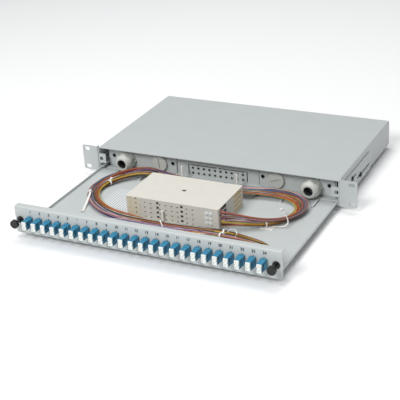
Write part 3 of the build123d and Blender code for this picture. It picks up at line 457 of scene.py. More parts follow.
def frames_along(line):
    """For each point: how far along it lies, and the directions sideways and up across the line."""
    across = []
    gone = 0.0
    for i, here in enumerate(line):
        before = line[max(i - 1, 0)]
        after = line[min(i + 1, len(line) - 1)]
        ahead = (after - before).normalized()
        side = ahead.cross(Vector((0, 0, 1))).normalized()
        gone += (here - before).length
        across.append((gone, side, side.cross(ahead).normalized()))
    return across


def skin_rings(first, rings, sides):
    """Faces of a closed tube: between its rings of points, and over both ends."""
    faces = []
    last = first + (rings - 1) * sides
    for a in range(first, last, sides):
        for k in range(sides):
            n = (k + 1) % sides
            faces.append((a + k, a + n, a + sides + n, a + sides + k))
    faces.append(tuple(first + k for k in reversed(range(sides))))
    faces.append(tuple(last + k for k in range(sides)))
    return faces


def mesh_piece(name, vertices, faces):
    """A piece from its points and faces, the faces turned outwards."""
    mesh = bpy.data.meshes.new(name)
    mesh.from_pydata(vertices, [], faces)
    piece = bpy.data.objects.new(name, mesh)
    bpy.context.collection.objects.link(piece)
    edit_whole(piece)
    bpy.ops.mesh.normals_make_consistent(inside=False)
    bpy.ops.object.mode_set(mode="OBJECT")
    return piece


STRAND_SIDES = 6


def strand_mesh(name, strands):
    """One mesh of several round strands, each a line and a colour code."""
    vertices, faces, colours = [], [], []
    radius = FIBRE_RADIUS * MM
    for line, code in strands:
        faces += skin_rings(len(vertices), len(line), STRAND_SIDES)
        for here, (_, side, up) in zip(line, frames_along(line)):
            for k in range(STRAND_SIDES):
                angle = 2 * math.pi * k / STRAND_SIDES
                vertices.append(here + (side * math.cos(angle) + up * math.sin(angle)) * radius)
                colours.append(colour(code))
    piece = mesh_piece(name, vertices, faces)
    tints = piece.data.color_attributes.new("buffer_colour", "FLOAT_COLOR", "POINT")
    for i, tint in enumerate(colours):
        tints.data[i].color = tint
    bpy.ops.object.shade_smooth_by_angle(angle=math.radians(60))
    return piece


# How strands lie in a bundle: in groups that wind, each strand straying a little, fanned at the start
# and peeling off before the end
GROUPS = 4
GROUP_STRANDS = 5
STRAND_PITCH = 0.95
GROUP_ACROSS = 2.5
GROUP_RISE = 1.1
FULL_TURN = 6.28
TWIST_LENGTH = 420.0
TWIST_SWING = 0.5
FAN_LENGTH = 60.0
FAN_GATHER = 0.3
LEVEL_SPREAD = 3.9
PEEL_LENGTH = 30.0
PEEL_REACH = 2.6
STRAY_ACROSS = 0.3
STRAY_UP = 0.25
GROUP_WAVES = (110, 190)
STRAND_WAVES = (35, 80)
LONGEST_STRANDS = (1, 3)
STRAND_ENDS = (0.86, 0.97)
ENTRY_POINT = (75.2, -130.8)
# Buffer colours, five to a group: yellow, brown, green and orange in the lower bundle, red, violet, pink and
# blue in the upper one
LOWER_COLOURS = (
    ("#C9B23C", "#A8922E", "#D8C66A", "#8C7A2C", "#E0C83A"),
    ("#5A3320", "#7E4024", "#3A2418", "#9A5230", "#C08048"),
    ("#1F3B2E", "#26221F", "#E8E2D6", "#2E4A36", "#3A3632"),
    ("#B9552E", "#8E3A26", "#D98A5A", "#6E2A22", "#A8742C"),
)
UPPER_COLOURS = (
    ("#A8503C", "#C4724C", "#7A2A20", "#B98A5C", "#8E3A2C"),
    ("#3A2768", "#C9B4C9", "#22406A", "#6A3A5C", "#2B3F88"),
    ("#C9A8AE", "#8E4A62", "#D9C4B4", "#7A3448", "#B07A6C"),
    ("#1E5A9A", "#8C6A34", "#2A7A98", "#5A3320", "#B98A92"),
)


def bundle_strands(line, tints, seed):
    """Groups of strands that wind loosely round each other, fanned to two cassettes at the start."""
    draw = random.Random(seed)
    across = frames_along(line)
    total = across[-1][0] / MM
    strands = []
    for group in range(GROUPS):
        phase = math.pi * (2 * group / GROUPS + 0.25)
        wave = draw.uniform(*GROUP_WAVES)
        level = LEVEL_SPREAD if group < GROUPS / 2 else -LEVEL_SPREAD
        for n in range(GROUP_STRANDS):
            base = (n - (GROUP_STRANDS - 1) / 2) * STRAND_PITCH
            own, own_wave = draw.uniform(0, FULL_TURN), draw.uniform(*STRAND_WAVES)
            end = total if n in LONGEST_STRANDS else total * draw.uniform(*STRAND_ENDS)
            points = []
            for here, (gone, side, up) in zip(line, across):
                far = gone / MM
                if far > end:
                    break
                fan = max(0.0, 1 - far / FAN_LENGTH) ** 2
                peel = max(0.0, 1 - (end - far) / PEEL_LENGTH) ** 2
                turn = phase + far / TWIST_LENGTH * FULL_TURN + TWIST_SWING * math.sin(far / wave * FULL_TURN)
                sideways = GROUP_ACROSS * math.cos(turn) + base + STRAY_ACROSS * math.sin(far / own_wave + own)
                sideways = sideways * (1 - FAN_GATHER * fan) * (1 - peel) + PEEL_REACH * peel
                upward = GROUP_RISE * math.sin(turn) * (1 - fan) + level * fan
                upward += STRAY_UP * math.cos(far / own_wave + own)
                points.append(here + (side * sideways + up * upward) * MM)
            strands.append((points, tints[group][n]))
    return strands


def bundle_line(route):
    """A bundle's line from the mouth of its cassettes along its route."""
    return [Vector((*ENTRY_POINT, route[0][2])) * MM] + smooth_line(route)


def lay_bundle(name, route, tints, seed):
    """One bundle of loose fibres along its route."""
    line = bundle_line(route)
    piece = strand_mesh(f"{name}_strands", bundle_strands(line, tints, seed))
    dress(piece, "drawer", BUFFER, "fibre_jacket", name)


# How far and how often the loose fibres wander, and where they end
LOOSE_STEPS = 300
LOOSE_SWINGS = (0.1, 0.25)
LOOSE_TURNS = (1.2, 3.2)
LOOSE_ENDS = (0.8, 0.97)
LOOSE_RISE = 0.8
LOOSE_RISE_STEP = 0.05


def between(first, second, share):
    """A line part of the way from one line to another, both cut into the same number of steps."""
    made = []
    for i in range(LOOSE_STEPS + 1):
        spots = []
        for line in (first, second):
            place = i / LOOSE_STEPS * (len(line) - 1)
            low = min(int(place), len(line) - 2)
            spots.append(line[low].lerp(line[low + 1], place - low))
        made.append(spots[0].lerp(spots[1], share(i / LOOSE_STEPS)))
    return made


LOOSE_COLOURS = ("#D9A08A", "#5A3E8E", "#8E2A3A", "#B9862C", "#2E4A36", "#C98AA8", "#23385E", "#A8623A",
                 "#8B8F92", "#3A2418", "#C9B23C", "#1E5A9A", "#B0502C", "#E3B7B4", "#6E5A2C", "#2A6A78")


def lay_loose_fibres():
    """Fibres that wander from one bundle to the other, so that the two read as one loose coil."""
    draw = random.Random(11)
    lower, upper = bundle_line(LOWER_ROUTE), bundle_line(UPPER_ROUTE)
    strands = []
    for n, code in enumerate(LOOSE_COLOURS):
        middle = n / (len(LOOSE_COLOURS) - 1)
        swing, start = draw.uniform(*LOOSE_SWINGS), draw.uniform(0, FULL_TURN)
        turns = draw.uniform(*LOOSE_TURNS)

        def share(f):
            return min(max(middle + swing * math.sin(start + turns * FULL_TURN * f), 0.0), 1.0)

        line = between(lower, upper, share)
        line = line[:int(len(line) * draw.uniform(*LOOSE_ENDS))]
        for i, here in enumerate(line):
            here.z += LOOSE_RISE * MM * math.sin(start + i * LOOSE_RISE_STEP)
        strands.append((line, code))
    dress(strand_mesh("loose_fibres", strands), "drawer", BUFFER, "fibre_jacket", "fibre_bundle_upper",
          "fibre_bundle_lower")


# How the pigtails run, as in the tubes: straight out, a drop, then in beside the outer bundle
TAIL_ENDS = (-80.0, 166.0)
TAIL_APART = 6.0
TAIL_END_Z = 8.5
TAIL_STRAIGHT = 8.0
TAIL_TURN = 5.5
TAIL_DROP = 5.0
TAIL_SAG = 1.0
LONG_TAIL = 50.0
LONG_TAIL_SHARES = (0.08, 0.28, 0.62)
SHORT_TAIL_SHARES = (0.08, 0.5)
TAIL_JOIN_RUN = 7.0
TAIL_JOIN_GAP = 1.5
UPPER_LIFT_KEPT = 0.15


def tail_route(x, lift):
    """Points of one pigtail from its boot to the outer bundle and into it."""
    first, last = TAIL_ENDS
    join_x = first + (last - first) * (x - PORTS[0]) / (PORTS[-1] - PORTS[0])
    front_run = [p for p in UPPER_ROUTE if p[1] < CASSETTE_FRONT]
    before, after = [(a, b) for a, b in zip(front_run, front_run[1:]) if a[0] <= join_x < b[0]][0]
    along = (join_x - before[0]) / (after[0] - before[0])
    bundle_y = before[1] + along * (after[1] - before[1])
    join_y = bundle_y - TAIL_APART
    start_z = PORT_Z - PORT_SPACING / 2
    straight_y = BOOT_END + TAIL_STRAIGHT
    turn_y = straight_y + TAIL_TURN
    turn_z = start_z - TAIL_DROP
    points = [(x, BOOT_SHOWN, start_z + lift), (x, BOOT_END, start_z + lift), (x, straight_y, start_z)]
    if lift:
        # The upper ones drop at once, to stay below the panel's flange.
        points[1:] = [(x, BOOT_END - 1.5, start_z + lift - 0.8), (x, straight_y - 3.0, start_z + 1.3)]
    shares = LONG_TAIL_SHARES if abs(join_x - x) > LONG_TAIL else SHORT_TAIL_SHARES
    for share in shares:
        back = (share - shares[0]) / (1 - shares[0])
        y = turn_y + back * (join_y - turn_y)
        z = turn_z + back * (TAIL_END_Z - turn_z) - TAIL_SAG * math.sin(math.pi * back)
        points.append((x + share * (join_x - x), y, z + lift * UPPER_LIFT_KEPT * (1 - back)))
    points.append((join_x, join_y, TAIL_END_Z))
    points.append((join_x + math.copysign(TAIL_JOIN_RUN, join_x - x), bundle_y - TAIL_JOIN_GAP, TAIL_END_Z))
    return points


def lay_pigtails():
    """One thin fibre from each connector's boot: 24 lower ones each a piece of its own, the upper ones in one
    piece over them.
    """
    draw = random.Random(5)
    upper = []
    for number, x in enumerate(PORTS, start=1):
        line = smooth_line(tail_route(x, 0.0))
        piece = strand_mesh(f"pigtail_{number:02d}", [(line, draw.choice(FIBRE_COLOURS))])
        dress(piece, "drawer", BUFFER, "fibre_jacket", "pigtail_tails")
        upper.append((smooth_line(tail_route(x, PORT_SPACING)), draw.choice(FIBRE_COLOURS)))
    dress(strand_mesh("upper_pigtails", upper), "drawer", BUFFER, "fibre_jacket", "pigtail_tails")


# Faces, cuts and copies

def pick_faces(piece, wanted):
    """Selects, in edit mode, the faces whose centre in millimetres and normal pass a test."""
    activate(piece)
    bpy.ops.object.mode_set(mode="EDIT")
    bpy.ops.mesh.select_mode(type="FACE")
    bpy.ops.mesh.select_all(action="DESELECT")
    bpy.ops.object.mode_set(mode="OBJECT")
    for face in piece.data.polygons:
        face.select = wanted(face.center / MM, face.normal)
    bpy.ops.object.mode_set(mode="EDIT")


def sink_faces(piece, wanted, rim_mm, depth_mm):
    """Insets each wanted face by a rim, and sinks what is left, or raises it if the depth is below 0."""
    pick_faces(piece, wanted)
    bpy.ops.mesh.inset(thickness=rim_mm * MM, use_individual=True, use_even_offset=True)
    bpy.ops.mesh.inset(thickness=0.01 * MM, depth=-depth_mm * MM, use_individual=True)
    bpy.ops.object.mode_set(mode="OBJECT")


def slice_piece(piece, axis, place_mm):
    """Cuts the faces of a piece along a plane square to one axis, and keeps both sides."""
    edit_whole(piece)
    square = Vector([float(axis == k) for k in range(3)])
    bpy.ops.mesh.bisect(plane_co=square * place_mm * MM, plane_no=square)
    bpy.ops.object.mode_set(mode="OBJECT")


def merge(pieces, name):
    """Joins pieces into the first one."""
    activate(pieces[0])
    for piece in pieces[1:]:
        piece.select_set(True)
    bpy.ops.object.join()
    pieces[0].name = name
    return pieces[0]


def copy_to(piece, name, shift_mm, turn_z=0.0):
    """A copy with its own mesh, turned about Z and then moved."""
    made = piece.copy()
    made.data = piece.data.copy()
    made.name = name
    bpy.context.collection.objects.link(made)
    made.rotation_euler = (0, 0, math.radians(turn_z))
    made.location = Vector(shift_mm) * MM
    settle(made)
    return made


def discard(piece):
    """Removes a pattern piece once its copies are made."""
    bpy.data.objects.remove(piece)


def bore_out(piece, cutter):
    """Cuts one closed shape out of another."""
    modify(piece, "BOOLEAN", operation="DIFFERENCE", object=cutter, solver="EXACT")
    even_out(piece)


def fit_slip(name, low, high, axis, cut, edge, material, slot, node):
    """A thin slip on the drawer, cut once across and eased."""
    slip = block(name, low, high)
    slice_piece(slip, axis, cut)
    soften(slip, edge)
    dress(slip, "drawer", material, slot, node)


# Front panel

def adapter_pattern():
    """Duplex adapter: nose with two windows in each side, two ports, rounded collar."""
    low, high = PORT_Z - ADAPTER_HALF_HEIGHT, PORT_Z + ADAPTER_HALF_HEIGHT
    nose = block("adapter_nose", (-ADAPTER_HALF_WIDTH, ADAPTER_NOSE, low),
                 (ADAPTER_HALF_WIDTH, PANEL_FACE, high))
    slice_piece(nose, 2, PORT_Z)
    for y in (NOTCH_FRONT, NOTCH_BACK):
        slice_piece(nose, 1, y)
    sink_faces(nose, lambda c, n: abs(n.x) > 0.9 and NOTCH_FRONT < c.y < NOTCH_BACK, 0.45, 0.8)
    sink_faces(nose, lambda c, n: n.y < -0.9 and c.y < ADAPTER_NOSE + 0.1, 0.6, 7.0)
    soften(nose, 0.4, 3)
    collar_half = ADAPTER_HALF_WIDTH + COLLAR_EDGE
    collar = block("adapter_collar", (-collar_half, COLLAR_FRONT, low - COLLAR_EDGE),
                   (collar_half, PANEL_FACE, high + COLLAR_EDGE))
    soften(collar, 1.2, 4)
    back = block("adapter_back", (-ADAPTER_HALF_WIDTH, PANEL_FACE, low),
                 (ADAPTER_HALF_WIDTH, ADAPTER_BACK, high))
    soften(back, 0.4)
    return merge([nose, collar, back], "adapter_pattern")


def shutter_pattern():
    """Black panes in the windows on both sides of an adapter's nose: painted shade in these recesses."""
    panes = []
    for side in (-1, 1):
        for middle in (PORT_Z - ADAPTER_HALF_HEIGHT / 2, PORT_Z + ADAPTER_HALF_HEIGHT / 2):
            inner, outer = sorted((side * (ADAPTER_HALF_WIDTH - 1.2), side * (ADAPTER_HALF_WIDTH - 0.55)))
            pane = block("pane", (inner, NOTCH_FRONT + 0.4, middle - 2.7),
                         (outer, NOTCH_BACK - 0.4, middle + 2.7))
            sink_faces(pane, lambda c, n: abs(n.x) > 0.9, 1.2, 0.15)
            soften(pane, 0.15)
            panes.append(pane)
    return merge(panes, "shutter_pattern")


def cap_pattern():
    """White duplex cap: a waisted plate with two sunk squares and two hollow plugs behind it."""
    plate = block("cap_plate", (-CAP_HALF_WIDTH, CAP_FACE, PORT_Z - ADAPTER_HALF_HEIGHT),
                  (CAP_HALF_WIDTH, ADAPTER_NOSE, PORT_Z + ADAPTER_HALF_HEIGHT))
    slice_piece(plate, 2, PORT_Z)
    sink_faces(plate, lambda c, n: n.y < -0.9, 1.9, 1.4)
    for side in (-1, 1):
        edge = side * CAP_HALF_WIDTH
        waist = block("waist", (edge - CAP_WAIST, CAP_FACE - 1, PORT_Z - CAP_WAIST),
                      (edge + CAP_WAIST, ADAPTER_NOSE + 1, PORT_Z + CAP_WAIST))
        bore_out(plate, waist)
        discard(waist)
    soften(plate, 0.4, 3)
    pieces = [plate]
    for side in (-1, 1):
        middle = PORT_Z + side * PORT_SPACING / 2
        plug = block("cap_plug", (-PLUG_HALF, ADAPTER_NOSE, middle - PLUG_HALF),
                     (PLUG_HALF, ADAPTER_NOSE + PLUG_LENGTH, middle + PLUG_HALF))
        sink_faces(plug, lambda c, n: n.y > 0.9, 0.8, 4.0)
        soften(plug, 0.3)
        pieces.append(plug)
    return merge(pieces, "cap_pattern")


def clip_pattern():
    """Spring-steel tab that stands up behind the adapter's collar."""
    tab = block("clip", (-0.3, PANEL_FACE - 0.9, 29.0), (1.5, PANEL_FACE - 0.4, 31.6))
    slice_piece(tab, 2, 30.4)
    sink_faces(tab, lambda c, n: n.y < -0.9 and c.z > 30.4, 0.25, -0.25)
    soften(tab, 0.12)
    return tab


def fit_adapters():
    """An adapter, a spring tab and a cap at each of the 24 places."""
    adapter, window_shade, cap, clip = adapter_pattern(), shutter_pattern(), cap_pattern(), clip_pattern()
    for number, x in enumerate(PORTS, start=1):
        dress(copy_to(adapter, f"adapter_{number:02d}", (x, 0, 0)), "drawer", BLUE, "adapter_blue",
              "fibre_adapters")
        # Black panes in each nose's windows: painted shade.
        dress(copy_to(window_shade, f"adapter_window_shades_{number:02d}", (x, 0, 0)), "drawer", BLACK_NYLON,
              "black_nylon", "fibre_adapters")
        dress(copy_to(clip, f"adapter_clip_{number:02d}", (x, 0, 0)), "drawer", ZINC, "zinc_steel")
        node = f"dust_cap_{number:02d}"
        dress(copy_to(cap, f"cap_{number:02d}", (x, 0, 0)), node, CAP_WHITE, "cap_white", node)
    for pattern in (adapter, window_shade, cap, clip):
        discard(pattern)


FIGURE_SIZE = 5.8
FIGURE_Z = 35.6
FIGURE_SHIFT = 1.2
FIGURE_WEIGHT = 0.24
INK_RISE = 0.06


def print_numbers():
    """Port numbers screen-printed above the adapters."""
    for number, x in enumerate(PORTS, start=1):
        deselect()
        place = Vector((x + FIGURE_SHIFT, PANEL_FACE - INK_RISE, FIGURE_Z)) * MM
        bpy.ops.object.text_add(location=place, rotation=(math.radians(90), 0, 0))
        figure = bpy.context.object
        figure.name = f"port_number_{number:02d}"
        figure.data.body = str(number)
        figure.data.size = FIGURE_SIZE * MM
        figure.data.offset = FIGURE_WEIGHT * MM
        figure.data.align_x = "CENTER"
        bpy.ops.object.convert(target="MESH")
        settle(figure)
        dress(figure, "drawer", INK, "black_nylon")


def fit_latches():
    """Black push-pull knobs, each with a sunk face and a pin through its grommet."""
    knob = round_bar("knob", 0, PORT_Z, KNOB_RADIUS, KNOB_FACE, KNOB_BACK)
    sink_faces(knob, lambda c, n: n.y < -0.9, 1.3, 0.5)
    soften(knob, 1.2, 4)
    neck = round_bar("knob_neck", 0, PORT_Z, PIN_RADIUS, KNOB_BACK - 0.5, PIN_TIP, 24)
    soften(neck, 0.4)
    pattern = merge([knob, neck], "knob_pattern")
    for side, word in ((-1, "left"), (1, "right")):
        node = f"latch_plunger_{word}"
        made = copy_to(pattern, f"knob_{word}", (side * LATCH_X, 0, 0))
        dress(made, node, BLACK_NYLON, "black_nylon", node)
    discard(pattern)


# Screws

PLATE_FRONT = 18.0
PLATE_SCREWS = [(side * x, PLATE_FRONT, 24.0, 0) for side in (-1, 1) for x in (80.0, 191.0)]
BRACKET_SCREWS = [(side * 214.0, y, z, 90 * side) for side in (-1, 1) for y, z in ((58.0, 21.7), (98.0, 11.7))]
HEAD_HEIGHT = 1.8
RECESS_HALF = 0.4


def screw_pattern(radius):
    """Pan head with a cross recess, facing the front, its seat at Y = 0."""
    head = round_bar("screw_head", 0, 0, radius, -HEAD_HEIGHT, 0, 32)
    soften(head, HEAD_HEIGHT * 0.45, 4)
    reach = radius * 0.55
    for x, z in ((RECESS_HALF, reach), (reach, RECESS_HALF)):
        arm = block("arm", (-x, -HEAD_HEIGHT - 1, -z), (x, -HEAD_HEIGHT * 0.45, z))
        bore_out(head, arm)
        discard(arm)
    return head


def fit_screws():
    """Screws of the gland plates and of the ear brackets: head and shank, copied to each place."""
    for name, node, body, radius, shank_radius, shank_length, places in (
            ("plate_screw", "gland_plate_screws", "drawer", 3.0, 1.5, 4.5, PLATE_SCREWS),
            ("bracket_screw", "bracket_screws", "housing", 3.9, 2.0, 3.2, BRACKET_SCREWS)):
        shank = round_bar("shank", 0, 0, shank_radius, 0, shank_length, 16)
        soften(shank, 0.2)
        pattern = merge([screw_pattern(radius), shank], name)
        for number, (*place, turn) in enumerate(places, start=1):
            made = copy_to(pattern, f"{name}_{number}", place, turn)
            dress(made, body, BLACKENED, "blackened_steel", node)
        discard(pattern)


# Glands and connectors: the solids with the fuller heads and shorter boots that the photograph shows

GLAND_X = 164.5
GLAND_Z = 20.0
GLAND_SHARE = 1.2
PLUG_X = 103.5
PLUG_Z = 21.5
PLUG_SHARE = 1.13


def swell(piece, x_mm, z_mm, share):
    """Widens what is in front of the gland plates, on either side round its own axis along Y."""
    for v in piece.data.vertices:
        if v.co.y < (PLATE_FRONT - 0.05) * MM:
            middle = math.copysign(x_mm, v.co.x) * MM
            v.co.x = middle + (v.co.x - middle) * share
            v.co.z = z_mm * MM + (v.co.z - z_mm * MM) * share


def fit_glands():
    """Gland bodies, dome nuts and blind plugs, each head swelled round its own bore."""
    bodies = eased_copy("gland_bodies", "drawer", POLYAMIDE, "gland_polyamide", 0.4)
    plugs = eased_copy("blind_plugs", "drawer", POLYAMIDE, "gland_polyamide", 0.4)
    eased_copy("locknuts", "drawer", POLYAMIDE, "gland_polyamide", 0.4)
    swell(bodies, GLAND_X, GLAND_Z, GLAND_SHARE)
    swell(plugs, PLUG_X, PLUG_Z, PLUG_SHARE)
    for node in ("gland_nut_left", "gland_nut_right"):
        nut = eased_copy(node, node, POLYAMIDE, "gland_polyamide", 0.6)
        swell(nut, GLAND_X, GLAND_Z, GLAND_SHARE)


POSTS = ((-15.5, -145.0), (-53.0, -3.0), (44.0, -3.0))
POST_SHARE = 1.35


def fit_posts():
    """Fibre posts, each as stout above the tray as the photograph shows."""
    posts = eased_copy("fibre_posts", "drawer", NYLON, "white_nylon", 0.3)
    for v in posts.data.vertices:
        if v.co.z > (TRAY_TOP + 0.5) * MM:
            x, y = min(POSTS, key=lambda p: math.hypot(v.co.x / MM - p[0], v.co.y / MM - p[1]))
            v.co.x = (x + (v.co.x / MM - x) * POST_SHARE) * MM
            v.co.y = (y + (v.co.y / MM - y) * POST_SHARE) * MM


def fit_connectors():
    """The 48 connectors, their boots drawn in to end under the panel's flange."""
    share = (BOOT_SHOWN - CONNECTOR_BACK) / (BOOT_END - CONNECTOR_BACK)
    connectors = eased_copy("pigtail_connectors", "drawer", CONNECTOR_BLUE, "connector_blue", 0.2)
    for v in connectors.data.vertices:
        if v.co.y > CONNECTOR_BACK * MM:
            v.co.y = (CONNECTOR_BACK + (v.co.y / MM - CONNECTOR_BACK) * share) * MM


# Splice cassettes

DOT_X = (-47.3, -37.1, -21.8, -11.6, -1.4, 8.0, 23.3, 33.5)
DOT_RADIUS = 1.5
DOT_RISE = 1.5
WINDOW_X = (-25.5, 15.2)
SIDE_WINDOW_Y = (-86.0, -58.0)
BUTTON_X = (56.3, 62.9)
BUTTON_RADIUS = 3.1
WASHER_RADIUS = 2.85
WASHER_THICKNESS = 0.7
WASHER_Z = 36.55


def cassette_cutter(low):
    """All the holes in the front and right walls of the cassette that starts at this height."""
    pieces = [round_bar("dot", x, low + DOT_RISE, DOT_RADIUS, CASSETTE_FRONT - 1, CASSETTE_FRONT + 3, 12)
              for x in DOT_X]
    middle = low + CASSETTE_PITCH / 2
    for x in WINDOW_X:
        pieces.append(block("window", (x - 2.1, CASSETTE_FRONT - 1, middle - 2.1),
                            (x + 2.1, CASSETTE_FRONT + 3, middle + 2.1)))
    pieces.append(block("side_window", (CASSETTE_RIGHT - 2.5, SIDE_WINDOW_Y[0], low + 1.8),
                        (CASSETTE_RIGHT + 1, SIDE_WINDOW_Y[1], low + 6.4)))
    return merge(pieces, "cassette_cutter")


def fit_panes(node, low):
    """The tan pane and entry sill on the right, a dark strip inside that paints the shade behind the front
    dots, the pale plate and its marks.
    """
    fit_slip(f"{node}_side_pane", (CASSETTE_RIGHT - 1.3, SIDE_WINDOW_Y[0] - 0.5, low + 1.4),
             (CASSETTE_RIGHT - 0.15, SIDE_WINDOW_Y[1] + 0.5, low + 6.8), 2, low + 4.3, 0.1,
             TAN, "cassette_cream", node)
    # A dark strip just behind the front wall: painted shade, seen through the dots.
    fit_slip(f"{node}_shade", (-52.0, CASSETTE_FRONT + 1.6, low + 0.9),
             (50.0, CASSETTE_FRONT + 2.0, low + 6.9), 0, 0.0, 0.1,
             DARK_BROWN_AND_PAINTED_SHADE, "cassette_cream", node)
    for mark, (x, material) in enumerate(((-72.0, TAN), (-62.6, DARK_BROWN_AND_PAINTED_SHADE)), start=1):
        fit_slip(f"{node}_mark_{mark}", (x - 1.1, CASSETTE_FRONT - 0.35, low + 6.3),
                 (x + 1.1, CASSETTE_FRONT + 0.3, low + 7.9), 2, low + 7.0, 0.15,
                 material, "cassette_cream", node)
    sill = block(f"{node}_entry_sill", (66.0, -139.0, low + 0.9),
                 (CASSETTE_RIGHT - 0.2, -124.0, low + 2.9))
    sink_faces(sill, lambda c, n: n.z > 0.9, 0.8, 0.3)
    soften(sill, 0.15)
    dress(sill, "drawer", TAN, "cassette_cream", node)
    plate = block(f"{node}_front_pane", (-77.5, CASSETTE_FRONT - 0.22, low + 0.5),
                  (-56.5, CASSETTE_FRONT + 0.4, low + 7.3))
    slice_piece(plate, 0, -67.0)
    sink_faces(plate, lambda c, n: n.y < -0.9, 0.7, 0.12)
    soften(plate, 0.1)
    dress(plate, "drawer", TAN_LIGHT, "cassette_cream", node)


def fit_buttons(node, low):
    """The two round hinge buttons that join a cassette to the next one up."""
    for mark, x in enumerate(BUTTON_X, start=1):
        button = round_bar(f"{node}_button_{mark}", x, low + CASSETTE_PITCH, BUTTON_RADIUS,
                           CASSETTE_FRONT - 1.0, CASSETTE_FRONT + 0.6, 32)
        sink_faces(button, lambda c, n: n.y < -0.9, 0.9, -0.35)
        soften(button, 0.35, 3)
        dress(button, "drawer", CAP_WHITE, "cassette_cream", node)


def fit_cassettes():
    """Four cassettes with their holes, panes and buttons, and the rib that runs up their fronts."""
    for level in range(CASSETTES):
        node = f"splice_cassette_{level + 1}"
        low = CASSETTE_LOW + level * CASSETTE_PITCH
        shell = eased_copy(node, "drawer", CREAM, "cassette_cream", 0.22)
        cutter = cassette_cutter(low)
        bore_out(shell, cutter)
        discard(cutter)
        fit_panes(node, low)
        if level < CASSETTES - 1:
            fit_buttons(node, low)
    fit_slip("front_rib", (-55.6, CASSETTE_FRONT - 0.3, CASSETTE_LOW),
             (-54.0, CASSETTE_FRONT + 0.3, CASSETTE_LOW + CASSETTES * CASSETTE_PITCH - 0.2), 2, 20.0, 0.15,
             CREAM, "cassette_cream", "splice_cassette_4")


def fit_stack_parts():
    """The lid, the carrier, the sleeves, and the screw through the stack with a dark washer; screw and washer
    are dark as painted shade in the lid's hole.
    """
    eased_copy("cassette_lid", "cassette_lid", CREAM, "cassette_cream", 0.25)
    eased_copy("cassette_carrier", "drawer", CREAM, "cassette_cream", 0.25)
    eased_copy("splice_sleeves", "drawer", ALUMINIUM, "sleeve_aluminium", 0.2)
    # Blackened steel in place of zinc: painted shade down the hole in the lid.
    eased_copy("stack_screw", "drawer", BLACKENED, "zinc_steel", 0.25)
    # A dark brown washer under the lid's hole: painted shade.
    deselect()
    place = Vector((*STACK_MIDDLE, WASHER_Z)) * MM
    bpy.ops.mesh.primitive_cylinder_add(vertices=32, radius=WASHER_RADIUS * MM, depth=WASHER_THICKNESS * MM,
                                        location=place)
    washer = bpy.context.object
    washer.name = "stack_screw_painted_shade_washer"
    settle(washer)
    sink_faces(washer, lambda c, n: n.z > 0.9, 0.8, 0.4)
    soften(washer, 0.12)
    dress(washer, "drawer", DARK_BROWN_AND_PAINTED_SHADE, "zinc_steel", "stack_screw")


# Cable ties

STRAP_THICKNESS = 0.9


def tie_head(name, place_mm, turn):
    """Square lock of a cable tie, its mouth to the right before it is turned."""
    lock = block(name, (-2.4, -2.0, -1.8), (2.4, 2.0, 1.8))
    sink_faces(lock, lambda c, n: n.x > 0.9, 0.7, 0.5)
    soften(lock, 0.4, 3)
    made = copy_to(lock, name, place_mm, turn)
    discard(lock)
    dress(made, "drawer", NYLON, "white_nylon", "cable_ties")


def lay_strap(name, points, wide, width=2.2):
    """Flat strap along a route, its width kept in one direction."""
    line = smooth_line(points)
    wide = Vector(wide).normalized()
    vertices = []
    for i, here in enumerate(line):
        ahead = (line[min(i + 1, len(line) - 1)] - line[max(i - 1, 0)]).normalized()
        thick = wide.cross(ahead).normalized()
        for a, b in ((-1, -1), (1, -1), (1, 1), (-1, 1)):
            vertices.append(here + (wide * a * width / 2 + thick * b * STRAP_THICKNESS / 2) * MM)
    strap = mesh_piece(name, vertices, skin_rings(0, len(line), 4))
    soften(strap, 0.2, 2, 50.0)
    dress(strap, "drawer", NYLON, "white_nylon", "cable_ties")


def fit_ties():
    """Rings and saddle from the solids, their locks, and the ends that were never cut off."""
    eased_copy("cable_ties", "drawer", NYLON, "white_nylon", 0.2)
    tie_head("tie_lock_left", (-168.5, -101.5, 14.0), 285.0)
    lay_strap("tie_end_left", [
        (-167.5, -103.5, 12.0), (-164.5, -111.0, 12.0), (-160.5, -125.0, 8.5), (-155.5, -144.0, 4.8),
        (-153.2, -151.0, 3.9)], (0.94, 0.34, 0.0), 3.4)
    tie_head("tie_lock_right", (146.5, -70.0, 16.5), 60.0)
    lay_strap("tie_loop_right", [
        (146.0, -103.0, 4.4), (160.0, -102.0, 4.6), (168.0, -99.0, 9.0), (167.0, -94.0, 15.0),
        (159.0, -87.0, 18.5), (152.0, -78.0, 19.0), (146.5, -70.0, 16.5), (143.0, -62.0, 13.0)],
        (0.75, -0.66, 0.0))
    tie_head("tie_lock_front", (88.0, -153.6, 8.0), 250.0)
    lay_strap("tie_loop_front_right", [
        (93.5, -150.0, 8.0), (95.0, -146.0, 12.0), (104.0, -145.0, 13.0), (110.0, -150.0, 8.5),
        (108.5, -155.0, 6.0)], (0.9, 0.43, 0.0), 1.3)
    lay_strap("tie_twist_outer", [
        (-12.5, -146.0, 4.0), (-9.0, -151.0, 11.0), (-14.5, -157.5, 14.5), (-8.0, -163.0, 12.0),
        (-3.0, -166.0, 5.0)], (1.0, 0.2, 0.0), 1.6)
    tie_head("tie_lock_back", (-161.0, -47.0, 12.8), 100.0)
    tie_head("tie_lock_outer", (69.0, -164.5, 5.2), 280.0)


# Folded sheet parts

HOUSING_EDGES = {"top_cover": 0.3, "base_plate": 0.3, "ear_bracket_left": 0.25, "ear_bracket_right": 0.25}


def dress_plain_sheets():
    """Cover, base and ears of the housing, and the face and gland plates of the drawer."""
    for node, edge in HOUSING_EDGES.items():
        eased_copy(node, "housing", HOUSING, "housing_paint", edge)
    for node in ("front_panel", "gland_plate_left", "gland_plate_right"):
        eased_copy(node, "drawer", DRAWER, "drawer_paint", 0.2)


